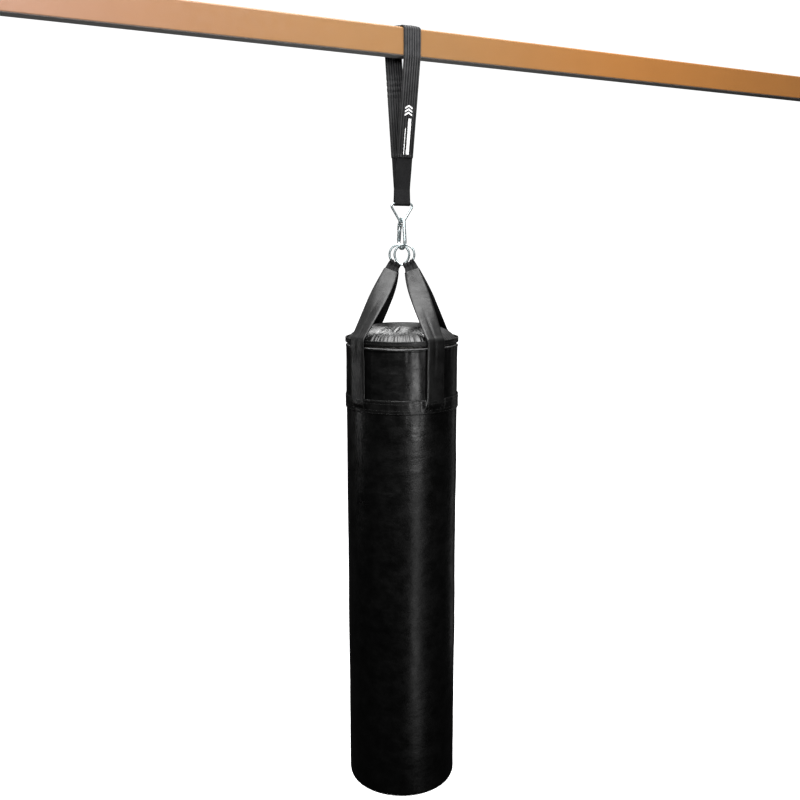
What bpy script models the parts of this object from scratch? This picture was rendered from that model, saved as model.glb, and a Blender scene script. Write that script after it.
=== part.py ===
"""A heavy punching bag that hangs from a steel crossbeam by a strap loop, a snap hook and two rings.

Metres, +Z up. The origin is the lowest point of the bag, on its axis. The beam runs along X, and
the front of the bag is -Y. Heights are added up from the bag's bottom to the beam.
"""

import math

import bmesh
import bpy
from mathutils import Matrix, Vector

# ---------------------------------------------------------------- driving sizes

GAP = 0.0003  # clearance between pieces that touch

# Bag
BAG_RADIUS = 0.1515
BAG_HEIGHT = 1.262  # bottom to the rim seam
BAG_TURN = math.radians(-33.0)  # how far the bag and its rings are turned from the beam
VINYL = 0.002
LID_RISE = 0.058
HEM_HEIGHT = 0.018
HEM_THICKNESS = 0.004
BAND_TOP_BELOW_RIM = 0.134
BAND_HEIGHT = 0.038
BAND_THICKNESS = 0.0015
BOTTOM_RISE = 0.004  # the bottom is this much lower at its middle than at its edge
FOAM = 0.010
ROUND_SIDES = 48

# Bag straps
BAG_WEB_THICKNESS = 0.002
BAG_WEB_WIDTH_AT_RING = 0.028
COVER_WIDTH = 0.052
COVER_TOP_WIDTH = 0.038
COVER_WALL = 0.0012
WEB_PLAY = 0.0006  # room between webbing and the cover or sleeve round it, on each side
COVER_START = 0.022  # how far below the ring's wire the cover begins
COVER_WIDENS = 0.110  # the cover reaches its full width this far below its top
STRAP_RISE = 0.2365  # rim seam to the middle of the rings
TWIST_SHARE = 0.56  # a strap finishes turning from its ring to the rim at this share of its length
STRAP_ANGLE = math.radians(49.0)  # a strap's place on the rim, either side of the ring's own direction
SHELL_TO_COVER = 0.0004
HEM_TO_COVER = 0.0008
TURN_LENGTH = 0.012  # the strap turns away from its ring over this length
TURN_OUT = 0.25  # how much it leans to its place on the rim as it does
LEG_SLACK = 0.003  # the strap hangs this far under a straight line, at a quarter of its way out
SHOULDER_IN = 0.014  # where it bends over the hem: this far inside its line down the bag,
SHOULDER_RISE = 0.0195  # and this far over the hem's top
HEM_TURN_IN = 0.002  # the last point of that bend, measured the same two ways
HEM_TURN_RISE = 0.0045
HEM_HOLD = 0.008  # from the hem's top down to where the strap runs straight down
BELOW_RIM = 0.010  # the strap starts to close on the shell this far below the rim,
ON_SHELL = 0.040  # and lies against it this far below
WEB_COLUMNS = 4

# Rings
RING_OUTER = 0.059
RING_WIRE = 0.006
RING_LEAN = 0.0075  # how far each ring's middle stands to its own side
RING_SPREAD = 0.0047  # how far each ring stands in front of or behind the hook's middle
SEAT_ANGLE = math.radians(25.0)  # the strap's place on its ring, out from the ring's lowest point

# Snap hook
HOOK_LENGTH = 0.0873
HOOK_WIRE = 0.009
HOOK_WIDTH = 0.046
HOOK_TOP_WIDTH = 0.034
GATE_LENGTH = 0.040
GATE_WIRE = 0.0095
GATE_DEPTH = 0.0086
GATE_CORNER = 0.003
GATE_REACH = 0.0052  # from the pin to the gate's upper end
GATE_PIN_ABOVE_MIDDLE = 0.021
GATE_TIP_GAP = 0.0012
BAR_START = 0.0071  # the hook's round bar begins this far above the pin
TONGUE = 0.0032  # flattened end of the hook, inside the gate's slot
TONGUE_DEPTH = 0.0065
TONGUE_PAST_PIN = 0.0035
TONGUE_JOIN = 0.0005  # how far the tongue reaches into the round bar
GATE_SLOT = 0.0066
SLOT_LENGTH = 0.021
SLOT_OVER_TOP = 0.004  # the slot's cutter starts this far above the gate
PIN_RADIUS = 0.0015
PIN_PROUD = 0.0005
SPRING_WIRE = 0.0006
SPRING_TURNS = 3

# Delta ring
DELTA_WIDTH = 0.066
DELTA_HEIGHT = 0.053
DELTA_WIRE = 0.006
DELTA_CORNER = 0.007
DELTA_FOOT = 0.010

# Hanger strap and its sleeve
HANGER_DROP = 0.367  # delta ring's bar to the underside of the beam
WEB_WIDTH = 0.045
WEB_THICKNESS = 0.003
SLEEVE_WALL = 0.0011
SLEEVE_DROP = 0.250  # underside of the beam to the sleeve's lower end
SWING_ROOM = 0.015  # free height under the beam, where the strap bends
FRONT_LEG_SHIFT = 0.018  # along X, at the beam
BACK_LEG_SHIFT = -0.013
SEWN_HEIGHT = 0.036  # the two legs lie together for this height above the bar
PINCH_HEIGHT = 0.016  # height above the bar at which they close in on each other
PINCH_HALF = 0.0034  # half the distance between them there

# Crossbeam
BEAM_LENGTH = 3.0
BEAM_HEIGHT = 0.070
BEAM_DEPTH = 0.040
BEAM_WALL = 0.003
BEAM_CORNER = 0.004

# Sides and steps of curved pieces
WIRE_SIDES = 10
BEND_STEP = 15.0  # degrees
DOME_STEPS = 7
RING_STEPS = 32
RING_SIDES = 8
HOOK_SIDES = 12
FOLD_STEPS = 8
COIL_STEPS = 12
COIL_SIDES = 5
LEG_STEPS = (2, 3, 4, 4, 3, 2, 1, 1, 1)  # close together where the strap twists and bends

# ---------------------------------------------------------------- worked-out places

SHELL_INNER = BAG_RADIUS - VINYL
RING_RADIUS = (RING_OUTER - RING_WIRE) / 2
RING_Z = BAG_HEIGHT + STRAP_RISE
RING_INNER = RING_RADIUS - RING_WIRE / 2
HOOK_RADIUS = HOOK_WIRE / 2
SEARCH_HALF = 0.015  # how far to each side of the hook the rings are searched for where it rests,
SEARCH_STEPS = 30  # in this many steps,
BOW_SWEEP = 80  # and over this many degrees of its bow, to each side of its lowest point


def hook_foot_z():
    """The height at which the hook's lower bow just carries the rings, wire on wire."""
    bow = HOOK_WIDTH / 2 - HOOK_RADIUS
    apart = HOOK_RADIUS + RING_WIRE / 2 + 2 * GAP
    lowest = RING_Z + RING_RADIUS
    for i in range(-SEARCH_STEPS, SEARCH_STEPS + 1):
        along = SEARCH_HALF * i / SEARCH_STEPS
        crest = math.sqrt(RING_RADIUS**2 - (along - RING_LEAN) ** 2)
        x = along * math.cos(BAG_TURN) + RING_SPREAD * math.sin(BAG_TURN)
        y = along * math.sin(BAG_TURN) - RING_SPREAD * math.cos(BAG_TURN)
        for degrees in range(-BOW_SWEEP, BOW_SWEEP + 1, 2):
            angle = math.radians(degrees)
            level = x**2 + (y - bow * math.sin(angle)) ** 2
            if level < apart**2:
                rise = bow * (1 - math.cos(angle))
                lowest = min(lowest, RING_Z + crest - rise - math.sqrt(apart**2 - level))
    return lowest - HOOK_RADIUS


HOOK_FOOT_Z = hook_foot_z()
HOOK_TOP_Z = HOOK_FOOT_Z + HOOK_LENGTH
DELTA_FOOT_Z = HOOK_TOP_Z - HOOK_WIRE - DELTA_WIRE - 2 * GAP
BAR_Z = DELTA_FOOT_Z + DELTA_HEIGHT - DELTA_WIRE / 2
BEAM_UNDER_Z = BAR_Z + HANGER_DROP
BEAM_TOP_Z = BEAM_UNDER_Z + BEAM_HEIGHT
BAND_TOP_Z = BAG_HEIGHT - BAND_TOP_BELOW_RIM
BAND_FOOT_Z = BAND_TOP_Z - BAND_HEIGHT
BAND_MIDDLE_Z = (BAND_TOP_Z + BAND_FOOT_Z) / 2
RING_ALONG = Vector((math.cos(BAG_TURN), math.sin(BAG_TURN), 0))
RING_NORMAL = Vector((-math.sin(BAG_TURN), math.cos(BAG_TURN), 0))
UP = Vector((0, 0, 1))

# ---------------------------------------------------------------- helpers


def clear_scene():
    for thing in list(bpy.data.objects):
        bpy.data.objects.remove(thing, do_unlink=True)


def material(name, colour, roughness, metallic=0.0):
    made = bpy.data.materials.new(name)
    made.use_nodes = True
    shader = made.node_tree.nodes["Principled BSDF"]
    shader.inputs["Base Color"].default_value = (*colour, 1.0)
    shader.inputs["Roughness"].default_value = roughness
    shader.inputs["Metallic"].default_value = metallic
    return made


def add_strap(name, shape, finish, pivot=None):
    """Adds a strap or sleeve. Each quad is split the short way, so that nested layers twist alike."""
    bmesh.ops.triangulate(shape, faces=shape.faces[:], quad_method="SHORT_EDGE")
    return add_object(name, shape, finish, pivot)


def add_object(name, shape, finish, pivot=None, flat_angle=35.0):
    """Makes a node from a bmesh, and puts its origin on its pivot."""
    bmesh.ops.recalc_face_normals(shape, faces=shape.faces[:])
    if pivot is not None:
        bmesh.ops.translate(shape, verts=shape.verts[:], vec=-Vector(pivot))
    mesh = bpy.data.meshes.new(name)
    shape.to_mesh(mesh)
    shape.free()
    mesh.shade_smooth()
    mesh.set_sharp_from_angle(angle=math.radians(flat_angle))
    mesh.materials.append(finish)
    made = bpy.data.objects.new(name, mesh)
    bpy.context.scene.collection.objects.link(made)
    if pivot is not None:
        made.location = pivot
    return made


def cut(target, cutter):
    """Takes a cutter's shape away from a node. The cutter stays as a hidden guide."""
    cutter.hide_render = True
    cutter.display_type = "WIRE"
    step = target.modifiers.new("Cut " + cutter.name, "BOOLEAN")
    step.operation = "DIFFERENCE"
    step.solver = "EXACT"
    step.object = cutter


def turned(profile, closed=True):
    """Turns (radius, height) points about Z. A profile that isn't closed starts and ends on the axis."""
    shape = bmesh.new()
    outline = [shape.verts.new((radius, 0, height)) for radius, height in profile]
    first = 0 if closed else 1
    edges = [shape.edges.new((outline[i - 1], outline[i])) for i in range(first, len(outline))]
    bmesh.ops.spin(
        shape,
        geom=outline + edges,
        cent=(0, 0, 0),
        axis=(0, 0, 1),
        angle=2 * math.pi,
        steps=ROUND_SIDES,
        use_merge=True,
    )
    bmesh.ops.remove_doubles(shape, verts=shape.verts[:], dist=1e-6)
    return shape


def skin(rings, closed_path):
    """Joins rings of points into a tube. An open tube gets a face on each end."""
    shape = bmesh.new()
    rows = [[shape.verts.new(point) for point in ring] for ring in rings]
    count = len(rows[0])
    spans = len(rows) if closed_path else len(rows) - 1
    for i in range(spans):
        here = rows[i]
        there = rows[(i + 1) % len(rows)]
        for j in range(count):
            k = (j + 1) % count
            shape.faces.new((here[j], here[k], there[k], there[j]))
    if not closed_path:
        shape.faces.new(rows[0])
        shape.faces.new(rows[-1])
    return shape


def wire(points, radius, side, sides=WIRE_SIDES, closed_path=False):
    """A round bar along points that lie in the plane across the direction named side."""
    rings = []
    last = len(points) - 1
    for i, point in enumerate(points):
        if closed_path:
            before = points[i - 1]
            after = points[(i + 1) % len(points)]
        else:
            before = points[max(i - 1, 0)]
            after = points[min(i + 1, last)]
        along = (after - before).normalized()
        across = along.cross(side).normalized()
        ring = []
        for j in range(sides):
            angle = 2 * math.pi * j / sides
            ring.append(point + radius * (math.cos(angle) * across + math.sin(angle) * side))
        rings.append(ring)
    return skin(rings, closed_path)


def belt(circles, step_degrees=BEND_STEP):
    """The line of a belt run anticlockwise round circles given as (x, y, radius), in that order."""
    spans = []
    for i, (x, y, radius) in enumerate(circles):
        next_x, next_y, next_radius = circles[(i + 1) % len(circles)]
        distance = math.hypot(next_x - x, next_y - y)
        heading = math.atan2(next_y - y, next_x - x)
        lean = math.asin((radius - next_radius) / distance)
        spans.append(heading - math.pi / 2 + lean)
    points = []
    for i, (x, y, radius) in enumerate(circles):
        start = spans[i - 1]
        sweep = (spans[i] - start) % (2 * math.pi)
        steps = max(2, round(math.degrees(sweep) / step_degrees))
        for k in range(steps + 1):
            angle = start + sweep * k / steps
            points.append((x + radius * math.cos(angle), y + radius * math.sin(angle)))
    return points


def smooth_path(points, steps):
    """Points on a Catmull-Rom curve through the points given, with a step count for each stretch."""
    ends = [2 * points[0] - points[1], *points, 2 * points[-1] - points[-2]]
    path = []
    for i, count in enumerate(steps):
        a, b, c, d = ends[i : i + 4]
        for k in range(count):
            t = k / count
            linear = (c - a) * t
            square = (2 * a - 5 * b + 4 * c - d) * t**2
            cube = (3 * b - a - 3 * c + d) * t**3
            path.append(0.5 * (2 * b + linear + square + cube))
    path.append(points[-1])
    return path


def flat_section(centre, across, out, width, thickness, lift, columns):
    """One cross-section of a strap, as a ring of points. Lift raises its two edges."""
    ring = []
    for face in (-1, 1):
        for j in range(columns + 1):
            share = (2 * j / columns - 1) * -face
            shift = share * across * width / 2 + face * out * thickness / 2
            ring.append(centre + shift + lift * share**2)
    return ring


def path_frames(path, across_at):
    """Direction across the strap and out of its face, at each point of a path."""
    frames = []
    last = len(path) - 1
    for i in range(len(path)):
        along = (path[min(i + 1, last)] - path[max(i - 1, 0)]).normalized()
        across = across_at(i / last)
        across = (across - across.dot(along) * along).normalized()
        frames.append((across, across.cross(along).normalized()))
    return frames


def hollow_strap(outer_rings, inner_rings):
    """A flat sleeve: an outer and an inner tube, joined at both open ends."""
    shape = bmesh.new()
    shells = []
    for rings in (outer_rings, inner_rings):
        rows = [[shape.verts.new(point) for point in ring] for ring in rings]
        for i in range(len(rows) - 1):
            for j in range(len(rows[0])):
                k = (j + 1) % len(rows[0])
                shape.faces.new((rows[i][j], rows[i][k], rows[i + 1][k], rows[i + 1][j]))
        shells.append(rows)
    outer, inner = shells
    for end in (0, -1):
        for j in range(len(outer[end])):
            k = (j + 1) % len(outer[end])
            shape.faces.new((outer[end][j], outer[end][k], inner[end][k], inner[end][j]))
    return shape


# ---------------------------------------------------------------- crossbeam and hanger strap


def rounded_rectangle(width, height, corner, steps=3):
    right = width / 2 - corner
    top = height / 2 - corner
    corners = [(right, top, 0), (-right, top, 90), (-right, -top, 180), (right, -top, 270)]
    points = []
    for x, y, start in corners:
        for k in range(steps + 1):
            angle = math.radians(start + 90 * k / steps)
            points.append((x + corner * math.cos(angle), y + corner * math.sin(angle)))
    return points


def make_crossbeam(paint):
    middle_z = BEAM_UNDER_Z + BEAM_HEIGHT / 2
    outer = rounded_rectangle(BEAM_DEPTH, BEAM_HEIGHT, BEAM_CORNER)
    inner_corner = BEAM_CORNER - BEAM_WALL
    inner = rounded_rectangle(BEAM_DEPTH - 2 * BEAM_WALL, BEAM_HEIGHT - 2 * BEAM_WALL, inner_corner)
    tubes = []
    for outline in (outer, inner):
        ends = []
        for x in (-BEAM_LENGTH / 2, BEAM_LENGTH / 2):
            ends.append([Vector((x, y, middle_z + z)) for y, z in outline])
        tubes.append(ends)
    return add_object("crossbeam", hollow_strap(*tubes), paint)


def saddle_path(clearance):
    """Front foot, over the beam and down to the back foot, at the given distance from the beam."""
    side = BEAM_DEPTH / 2 + clearance
    top = BEAM_TOP_Z + clearance
    bend = BEAM_CORNER + clearance
    points = [Vector((FRONT_LEG_SHIFT, -side, BEAM_UNDER_Z))]
    for turn in (0, 1):
        for k in range(5):
            angle = math.radians(180 - 90 * turn - 90 * k / 4)
            centre_y = (2 * turn - 1) * (side - bend)
            y = centre_y + bend * math.cos(angle)
            z = top - bend + bend * math.sin(angle)
            share = 0.5 + 0.5 * y / side
            x = FRONT_LEG_SHIFT + (BACK_LEG_SHIFT - FRONT_LEG_SHIFT) * share
            points.append(Vector((x, y, z)))
    points.append(Vector((BACK_LEG_SHIFT, side, BEAM_UNDER_Z)))
    return points


def web_rings(path, width, thickness):
    """Sections of the hanger strap. Its width lies along the beam, also where its path slants."""
    across = Vector((1, 0, 0))
    level_path = [Vector((0, point.y, point.z)) for point in path]
    frames = path_frames(level_path, lambda share: across)
    return [
        flat_section(point, across, out, width, thickness, Vector(), 1)
        for point, (_, out) in zip(path, frames)
    ]


SLEEVE_INNER = WEB_THICKNESS + 2 * GAP
SLEEVE_OUTER = SLEEVE_INNER + 2 * SLEEVE_WALL
SLEEVE_WIDTH = WEB_WIDTH + 2 * WEB_PLAY
LEG_OFFSET = SLEEVE_OUTER / 2 + GAP  # middle of the webbing to the beam's face


def make_over_beam(webbing, sleeve):
    path = saddle_path(LEG_OFFSET)
    strap = skin(web_rings(path, WEB_WIDTH, WEB_THICKNESS), False)
    add_strap("strap_over_beam", strap, webbing)
    outer = web_rings(path, SLEEVE_WIDTH + 2 * SLEEVE_WALL, SLEEVE_OUTER)
    inner = web_rings(path, SLEEVE_WIDTH, SLEEVE_INNER)
    add_strap("sleeve_over_beam", hollow_strap(outer, inner), sleeve)


FOLD_RADIUS = DELTA_WIRE / 2 + GAP + WEB_THICKNESS / 2
LEG_TOP_Z = BEAM_UNDER_Z - SWING_ROOM


def leg_point(side, z):
    """A point on the middle of the front (-1) or back (+1) leg, between the sewn part and the beam."""
    shift = FRONT_LEG_SHIFT if side < 0 else BACK_LEG_SHIFT
    sewn_z = BAR_Z + SEWN_HEIGHT
    share = (z - sewn_z) / (BEAM_UNDER_Z - sewn_z)
    together = WEB_THICKNESS / 2 + 2 * GAP
    y = together + (BEAM_DEPTH / 2 + LEG_OFFSET - together) * share
    return Vector((shift * share, side * y, z))


def make_hanger(webbing, sleeve):
    heights = [LEG_TOP_Z, BEAM_UNDER_Z - SLEEVE_DROP, BAR_Z + SEWN_HEIGHT]
    front = [leg_point(-1, z) for z in heights]
    back = [leg_point(1, z) for z in reversed(heights)]
    front.append(Vector((0, -PINCH_HALF, BAR_Z + PINCH_HEIGHT)))
    back.insert(0, Vector((0, PINCH_HALF, BAR_Z + PINCH_HEIGHT)))
    fold = []
    for k in range(FOLD_STEPS + 1):
        angle = math.pi + math.pi * k / FOLD_STEPS
        fold.append(Vector((0, FOLD_RADIUS * math.cos(angle), BAR_Z + FOLD_RADIUS * math.sin(angle))))
    path = front + fold + back
    strap = skin(web_rings(path, WEB_WIDTH, WEB_THICKNESS), False)
    pivot = (0, 0, BEAM_UNDER_Z)
    add_strap("hanger_strap", strap, webbing, pivot)
    for name, side in (("sleeve_front", -1), ("sleeve_back", 1)):
        ends = [leg_point(side, LEG_TOP_Z), leg_point(side, BEAM_UNDER_Z - SLEEVE_DROP)]
        outer = web_rings(ends, SLEEVE_WIDTH + 2 * SLEEVE_WALL, SLEEVE_OUTER)
        inner = web_rings(ends, SLEEVE_WIDTH, SLEEVE_INNER)
        add_strap(name, hollow_strap(outer, inner), sleeve, pivot)


# ---------------------------------------------------------------- delta ring, hook and rings


def make_delta_ring(zinc):
    wire_radius = DELTA_WIRE / 2
    corner_x = DELTA_WIDTH / 2 - wire_radius - DELTA_CORNER
    foot_z = DELTA_FOOT_Z + wire_radius + DELTA_FOOT
    circles = [
        (corner_x, BAR_Z - DELTA_CORNER, DELTA_CORNER),
        (-corner_x, BAR_Z - DELTA_CORNER, DELTA_CORNER),
        (0, foot_z, DELTA_FOOT),
    ]
    points = [Vector((x, 0, z)) for x, z in belt(circles)]
    shape = wire(points, wire_radius, Vector((0, 1, 0)), closed_path=True)
    add_object("delta_ring", shape, zinc, (0, 0, BAR_Z))


def hook_bows():
    """The two bows of the hook's centre line, as (y, z, radius), with the wide one at the bottom."""
    foot_radius = HOOK_WIDTH / 2 - HOOK_RADIUS
    top_radius = HOOK_TOP_WIDTH / 2 - HOOK_RADIUS
    foot = (0, HOOK_FOOT_Z + HOOK_RADIUS + foot_radius, foot_radius)
    top = (0, HOOK_TOP_Z - HOOK_RADIUS - top_radius, top_radius)
    return foot, top


def gate_ends():
    """The gate's pin and its free end, both on the hook's centre line on the +Y side."""
    foot, top = hook_bows()
    lean = math.asin((foot[2] - top[2]) / (top[1] - foot[1]))
    low = Vector((0, foot[2] * math.cos(lean), foot[1] + foot[2] * math.sin(lean)))
    high = Vector((0, top[2] * math.cos(lean), top[1] + top[2] * math.sin(lean)))
    along = (high - low).normalized()
    middle_z = (HOOK_FOOT_Z + HOOK_TOP_Z) / 2
    pin = low + along * ((middle_z + GATE_PIN_ABOVE_MIDDLE - low.z) / along.z)
    return pin, pin - along * GATE_LENGTH, along


def make_hook(zinc):
    pin, tip, along = gate_ends()
    points = [Vector((0, y, z)) for y, z in belt(hook_bows())]
    # The bar runs from the pin over the top, down the -Y side and round to the gate's free end.
    # The line has no points between its two bows, so its longest step on the +Y side is the gate's.
    over_pin = pin + along * BAR_START
    kept = [p for p in points if p.y < 0 or p.z > over_pin.z or p.z < tip.z]
    start = max(range(len(kept)), key=lambda i: (kept[i - 1] - kept[i]).length if kept[i].y > 0 else 0)
    bar = kept[start:] + kept[:start]
    if bar[0].z < bar[-1].z:
        bar.reverse()
    bar = [over_pin, *bar, tip - along * GATE_TIP_GAP]
    shape = wire(bar, HOOK_RADIUS, Vector((1, 0, 0)), sides=HOOK_SIDES)
    body = add_object("hook_body", shape, zinc, (0, 0, HOOK_TOP_Z - HOOK_WIRE))
    return body, pin, tip, along


def block(name, centre, size, along, finish, corner=0.0):
    """A box whose height runs along the gate's direction, in the hook's plane."""
    shape = bmesh.new()
    bmesh.ops.create_cube(shape, size=1.0)
    bmesh.ops.scale(shape, verts=shape.verts[:], vec=size)
    if corner:
        upright = [e for e in shape.edges if abs((e.verts[0].co - e.verts[1].co).normalized().z) > 0.9]
        bmesh.ops.bevel(
            shape, geom=upright, offset=corner, segments=3, profile=0.5, affect="EDGES", material=-1
        )
    turn = math.atan2(-along.y, along.z)
    bmesh.ops.rotate(shape, verts=shape.verts[:], matrix=Matrix.Rotation(turn, 3, "X"))
    bmesh.ops.translate(shape, verts=shape.verts[:], vec=centre)
    return add_object(name, shape, finish)


def cylinder_x(name, centre, radius, length, finish, sides=16):
    shape = bmesh.new()
    bmesh.ops.create_cone(
        shape, cap_ends=True, segments=sides, radius1=radius, radius2=radius, depth=length
    )
    bmesh.ops.rotate(shape, verts=shape.verts[:], matrix=Matrix.Rotation(math.pi / 2, 3, "Y"))
    bmesh.ops.translate(shape, verts=shape.verts[:], vec=centre)
    return add_object(name, shape, finish)


def make_gate(body, pin, tip, along, zinc):
    """The gate is a bar slotted at its upper end, where it straddles the hook's flattened tongue."""
    spring_room = GATE_SLOT - TONGUE - 3 * GAP
    tongue_x = -GATE_SLOT / 2 + GAP + TONGUE / 2
    tongue_length = BAR_START + TONGUE_PAST_PIN
    tongue = block(
        "tongue_shape",
        pin + along * (BAR_START + TONGUE_JOIN - tongue_length / 2) + Vector((tongue_x, 0, 0)),
        (TONGUE, TONGUE_DEPTH, tongue_length),
        along,
        zinc,
    )
    tongue.hide_render = True
    tongue.display_type = "WIRE"
    join = body.modifiers.new("Tongue", "BOOLEAN")
    join.operation = "UNION"
    join.solver = "EXACT"
    join.object = tongue
    cut(body, cylinder_x("tongue_hole", pin, PIN_RADIUS + GAP, GATE_WIRE * 3, zinc))

    top = pin + along * GATE_REACH
    middle = (top + tip) / 2
    length = (top - tip).length
    gate = block("hook_gate", middle, (GATE_WIRE, GATE_DEPTH, length), along, zinc, GATE_CORNER)
    slot = block(
        "gate_slot",
        top - along * (SLOT_LENGTH / 2 - SLOT_OVER_TOP),
        (GATE_SLOT, GATE_WIRE * 2, SLOT_LENGTH),
        along,
        zinc,
    )
    cut(gate, slot)
    cut(gate, cylinder_x("gate_hole", pin, PIN_RADIUS + GAP, GATE_WIRE * 3, zinc))
    for vertex in gate.data.vertices:
        vertex.co -= pin
    gate.location = pin
    cylinder_x("gate_pin", pin, PIN_RADIUS, GATE_WIRE + 2 * PIN_PROUD, zinc)

    coil_radius = PIN_RADIUS + GAP + SPRING_WIRE / 2
    start_x = tongue_x + TONGUE / 2 + GAP + SPRING_WIRE / 2
    run = spring_room - SPRING_WIRE
    count = SPRING_TURNS * COIL_STEPS
    rings = []
    for i in range(count + 1):
        turn = 2 * math.pi * i / COIL_STEPS
        out = Vector((0, math.cos(turn), math.sin(turn)))
        centre = pin + out * coil_radius + Vector((start_x + run * i / count, 0, 0))
        ring = []
        for j in range(COIL_SIDES):
            angle = 2 * math.pi * j / COIL_SIDES
            offset = math.cos(angle) * out + math.sin(angle) * Vector((1, 0, 0))
            ring.append(centre + offset * SPRING_WIRE / 2)
        rings.append(ring)
    add_object("gate_spring", skin(rings, False), zinc)


def ring_centre(side):
    """Middle of the left (-1) or right (+1) ring. The right one hangs in front."""
    lean = RING_ALONG * (side * RING_LEAN)
    depth = RING_NORMAL * (-side * RING_SPREAD)
    return lean + depth + UP * RING_Z


def make_ring(name, side, zinc):
    centre = ring_centre(side)
    points = []
    for i in range(RING_STEPS):
        angle = 2 * math.pi * i / RING_STEPS
        points.append(centre + RING_RADIUS * (math.cos(angle) * RING_ALONG + math.sin(angle) * UP))
    shape = wire(points, RING_WIRE / 2, RING_NORMAL, RING_SIDES, closed_path=True)
    add_object(name, shape, zinc, (0, 0, HOOK_FOOT_Z + HOOK_WIRE))


# ---------------------------------------------------------------- bag straps


def rim_direction(side, face):
    """Where a strap crosses the rim. Side is -1 left, +1 right; face is -1 front, +1 back."""
    along = RING_ALONG * side * math.cos(STRAP_ANGLE)
    return along + RING_NORMAL * face * math.sin(STRAP_ANGLE)


def ring_seat(side):
    """Where a strap hangs on its ring: the wire's middle, the way down from it, and the way along it."""
    down = RING_ALONG * side * math.sin(SEAT_ANGLE) - UP * math.cos(SEAT_ANGLE)
    along = RING_ALONG * math.cos(SEAT_ANGLE) + UP * side * math.sin(SEAT_ANGLE)
    return ring_centre(side) + down * RING_RADIUS, down, along


FOLD_BEND = RING_WIRE / 2 + BAG_WEB_THICKNESS / 2 + 2 * GAP  # ring wire's middle to the webbing's middle


def strap_leg(side, face):
    """Points from beside the ring's wire, out over the rim, and down to the seam band."""
    cover = BAG_WEB_THICKNESS / 2 + WEB_PLAY + COVER_WALL
    out = rim_direction(side, face)
    seat, down, _ = ring_seat(side)
    start = seat + RING_NORMAL * face * FOLD_BEND
    against = BAG_RADIUS + GAP + SHELL_TO_COVER + cover
    rim = max(against, SHELL_INNER + HEM_THICKNESS + HEM_TO_COVER + cover)
    hem_top = BAG_HEIGHT + HEM_HEIGHT
    shoulder = out * (rim - SHOULDER_IN) + UP * (hem_top + SHOULDER_RISE)
    halfway = start.lerp(shoulder, 0.5)
    return [
        start,
        start + (out * TURN_OUT + down).normalized() * TURN_LENGTH,
        start.lerp(halfway, 0.5) + down * LEG_SLACK,
        halfway,
        shoulder,
        out * (rim - HEM_TURN_IN) + UP * (hem_top + HEM_TURN_RISE),
        out * rim + UP * (hem_top - HEM_HOLD),
        out * rim + UP * (BAG_HEIGHT - BELOW_RIM),
        out * against + UP * (BAG_HEIGHT - ON_SHELL),
        out * against + UP * (BAND_TOP_Z + GAP),
    ]


def leg_frames(side, face, path):
    """The strap turns from the ring's direction to the rim's tangent on its way out."""
    tangent = UP.cross(rim_direction(side, face))
    _, _, along_ring = ring_seat(side)
    if tangent.dot(RING_ALONG) < 0:
        tangent = -tangent
    lengths = [0.0]
    for i in range(1, len(path)):
        lengths.append(lengths[-1] + (path[i] - path[i - 1]).length)

    def across_at(share):
        done = lengths[round(share * (len(path) - 1))] / (lengths[-1] * TWIST_SHARE)
        done = min(done, 1.0)
        return along_ring.lerp(tangent, done)

    return path_frames(path, across_at), lengths


def cover_width(distance):
    share = min(max((distance - COVER_START) / COVER_WIDENS, 0.0), 1.0)
    return COVER_TOP_WIDTH + (COVER_WIDTH - COVER_TOP_WIDTH) * share * (2 - share)


def web_width(distance):
    """The webbing is bunched up on the ring, and fills its cover further down."""
    full = cover_width(distance) - 2 * COVER_WALL - 2 * WEB_PLAY
    share = min(distance / COVER_START, 1.0)
    return BAG_WEB_WIDTH_AT_RING + (full - BAG_WEB_WIDTH_AT_RING) * share


def make_cover(name, path, frames, lengths, vinyl):
    begin = next(i for i, length in enumerate(lengths) if length > COVER_START)
    web_room = BAG_WEB_THICKNESS + 2 * WEB_PLAY
    shells = []
    for wall in (COVER_WALL, 0.0):
        rings = []
        for i in range(begin, len(path)):
            across, out = frames[i]
            width = cover_width(lengths[i]) - 2 * (COVER_WALL - wall)
            thick = web_room + 2 * wall
            rings.append(flat_section(path[i], across, out, width, thick, Vector(), WEB_COLUMNS))
        shells.append(rings)
    add_strap(name, hollow_strap(*shells), vinyl)


def make_bag_straps(webbing, vinyl):
    for side_name, side in (("left", -1), ("right", 1)):
        stations = []
        for face_name, face in (("front", -1), ("back", 1)):
            path = smooth_path(strap_leg(side, face), LEG_STEPS)
            frames, lengths = leg_frames(side, face, path)
            make_cover(f"cover_{side_name}_{face_name}", path, frames, lengths, vinyl)
            leg = [(path[i], *frames[i], lengths[i]) for i in range(len(path))]
            if face < 0:
                stations = leg[::-1] + ring_fold(side)
            else:
                stations += leg
        make_band(f"band_{side_name}", side, stations, webbing)


def ring_fold(side):
    """The half turn of webbing over the ring's wire, from its front side to its back side."""
    seat, down, along = ring_seat(side)
    stations = []
    for k in range(1, FOLD_STEPS):
        angle = math.pi * k / FOLD_STEPS
        out = -RING_NORMAL * math.cos(angle) - down * math.sin(angle)
        stations.append((seat + out * FOLD_BEND, along, out, 0.0))
    return stations


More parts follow.
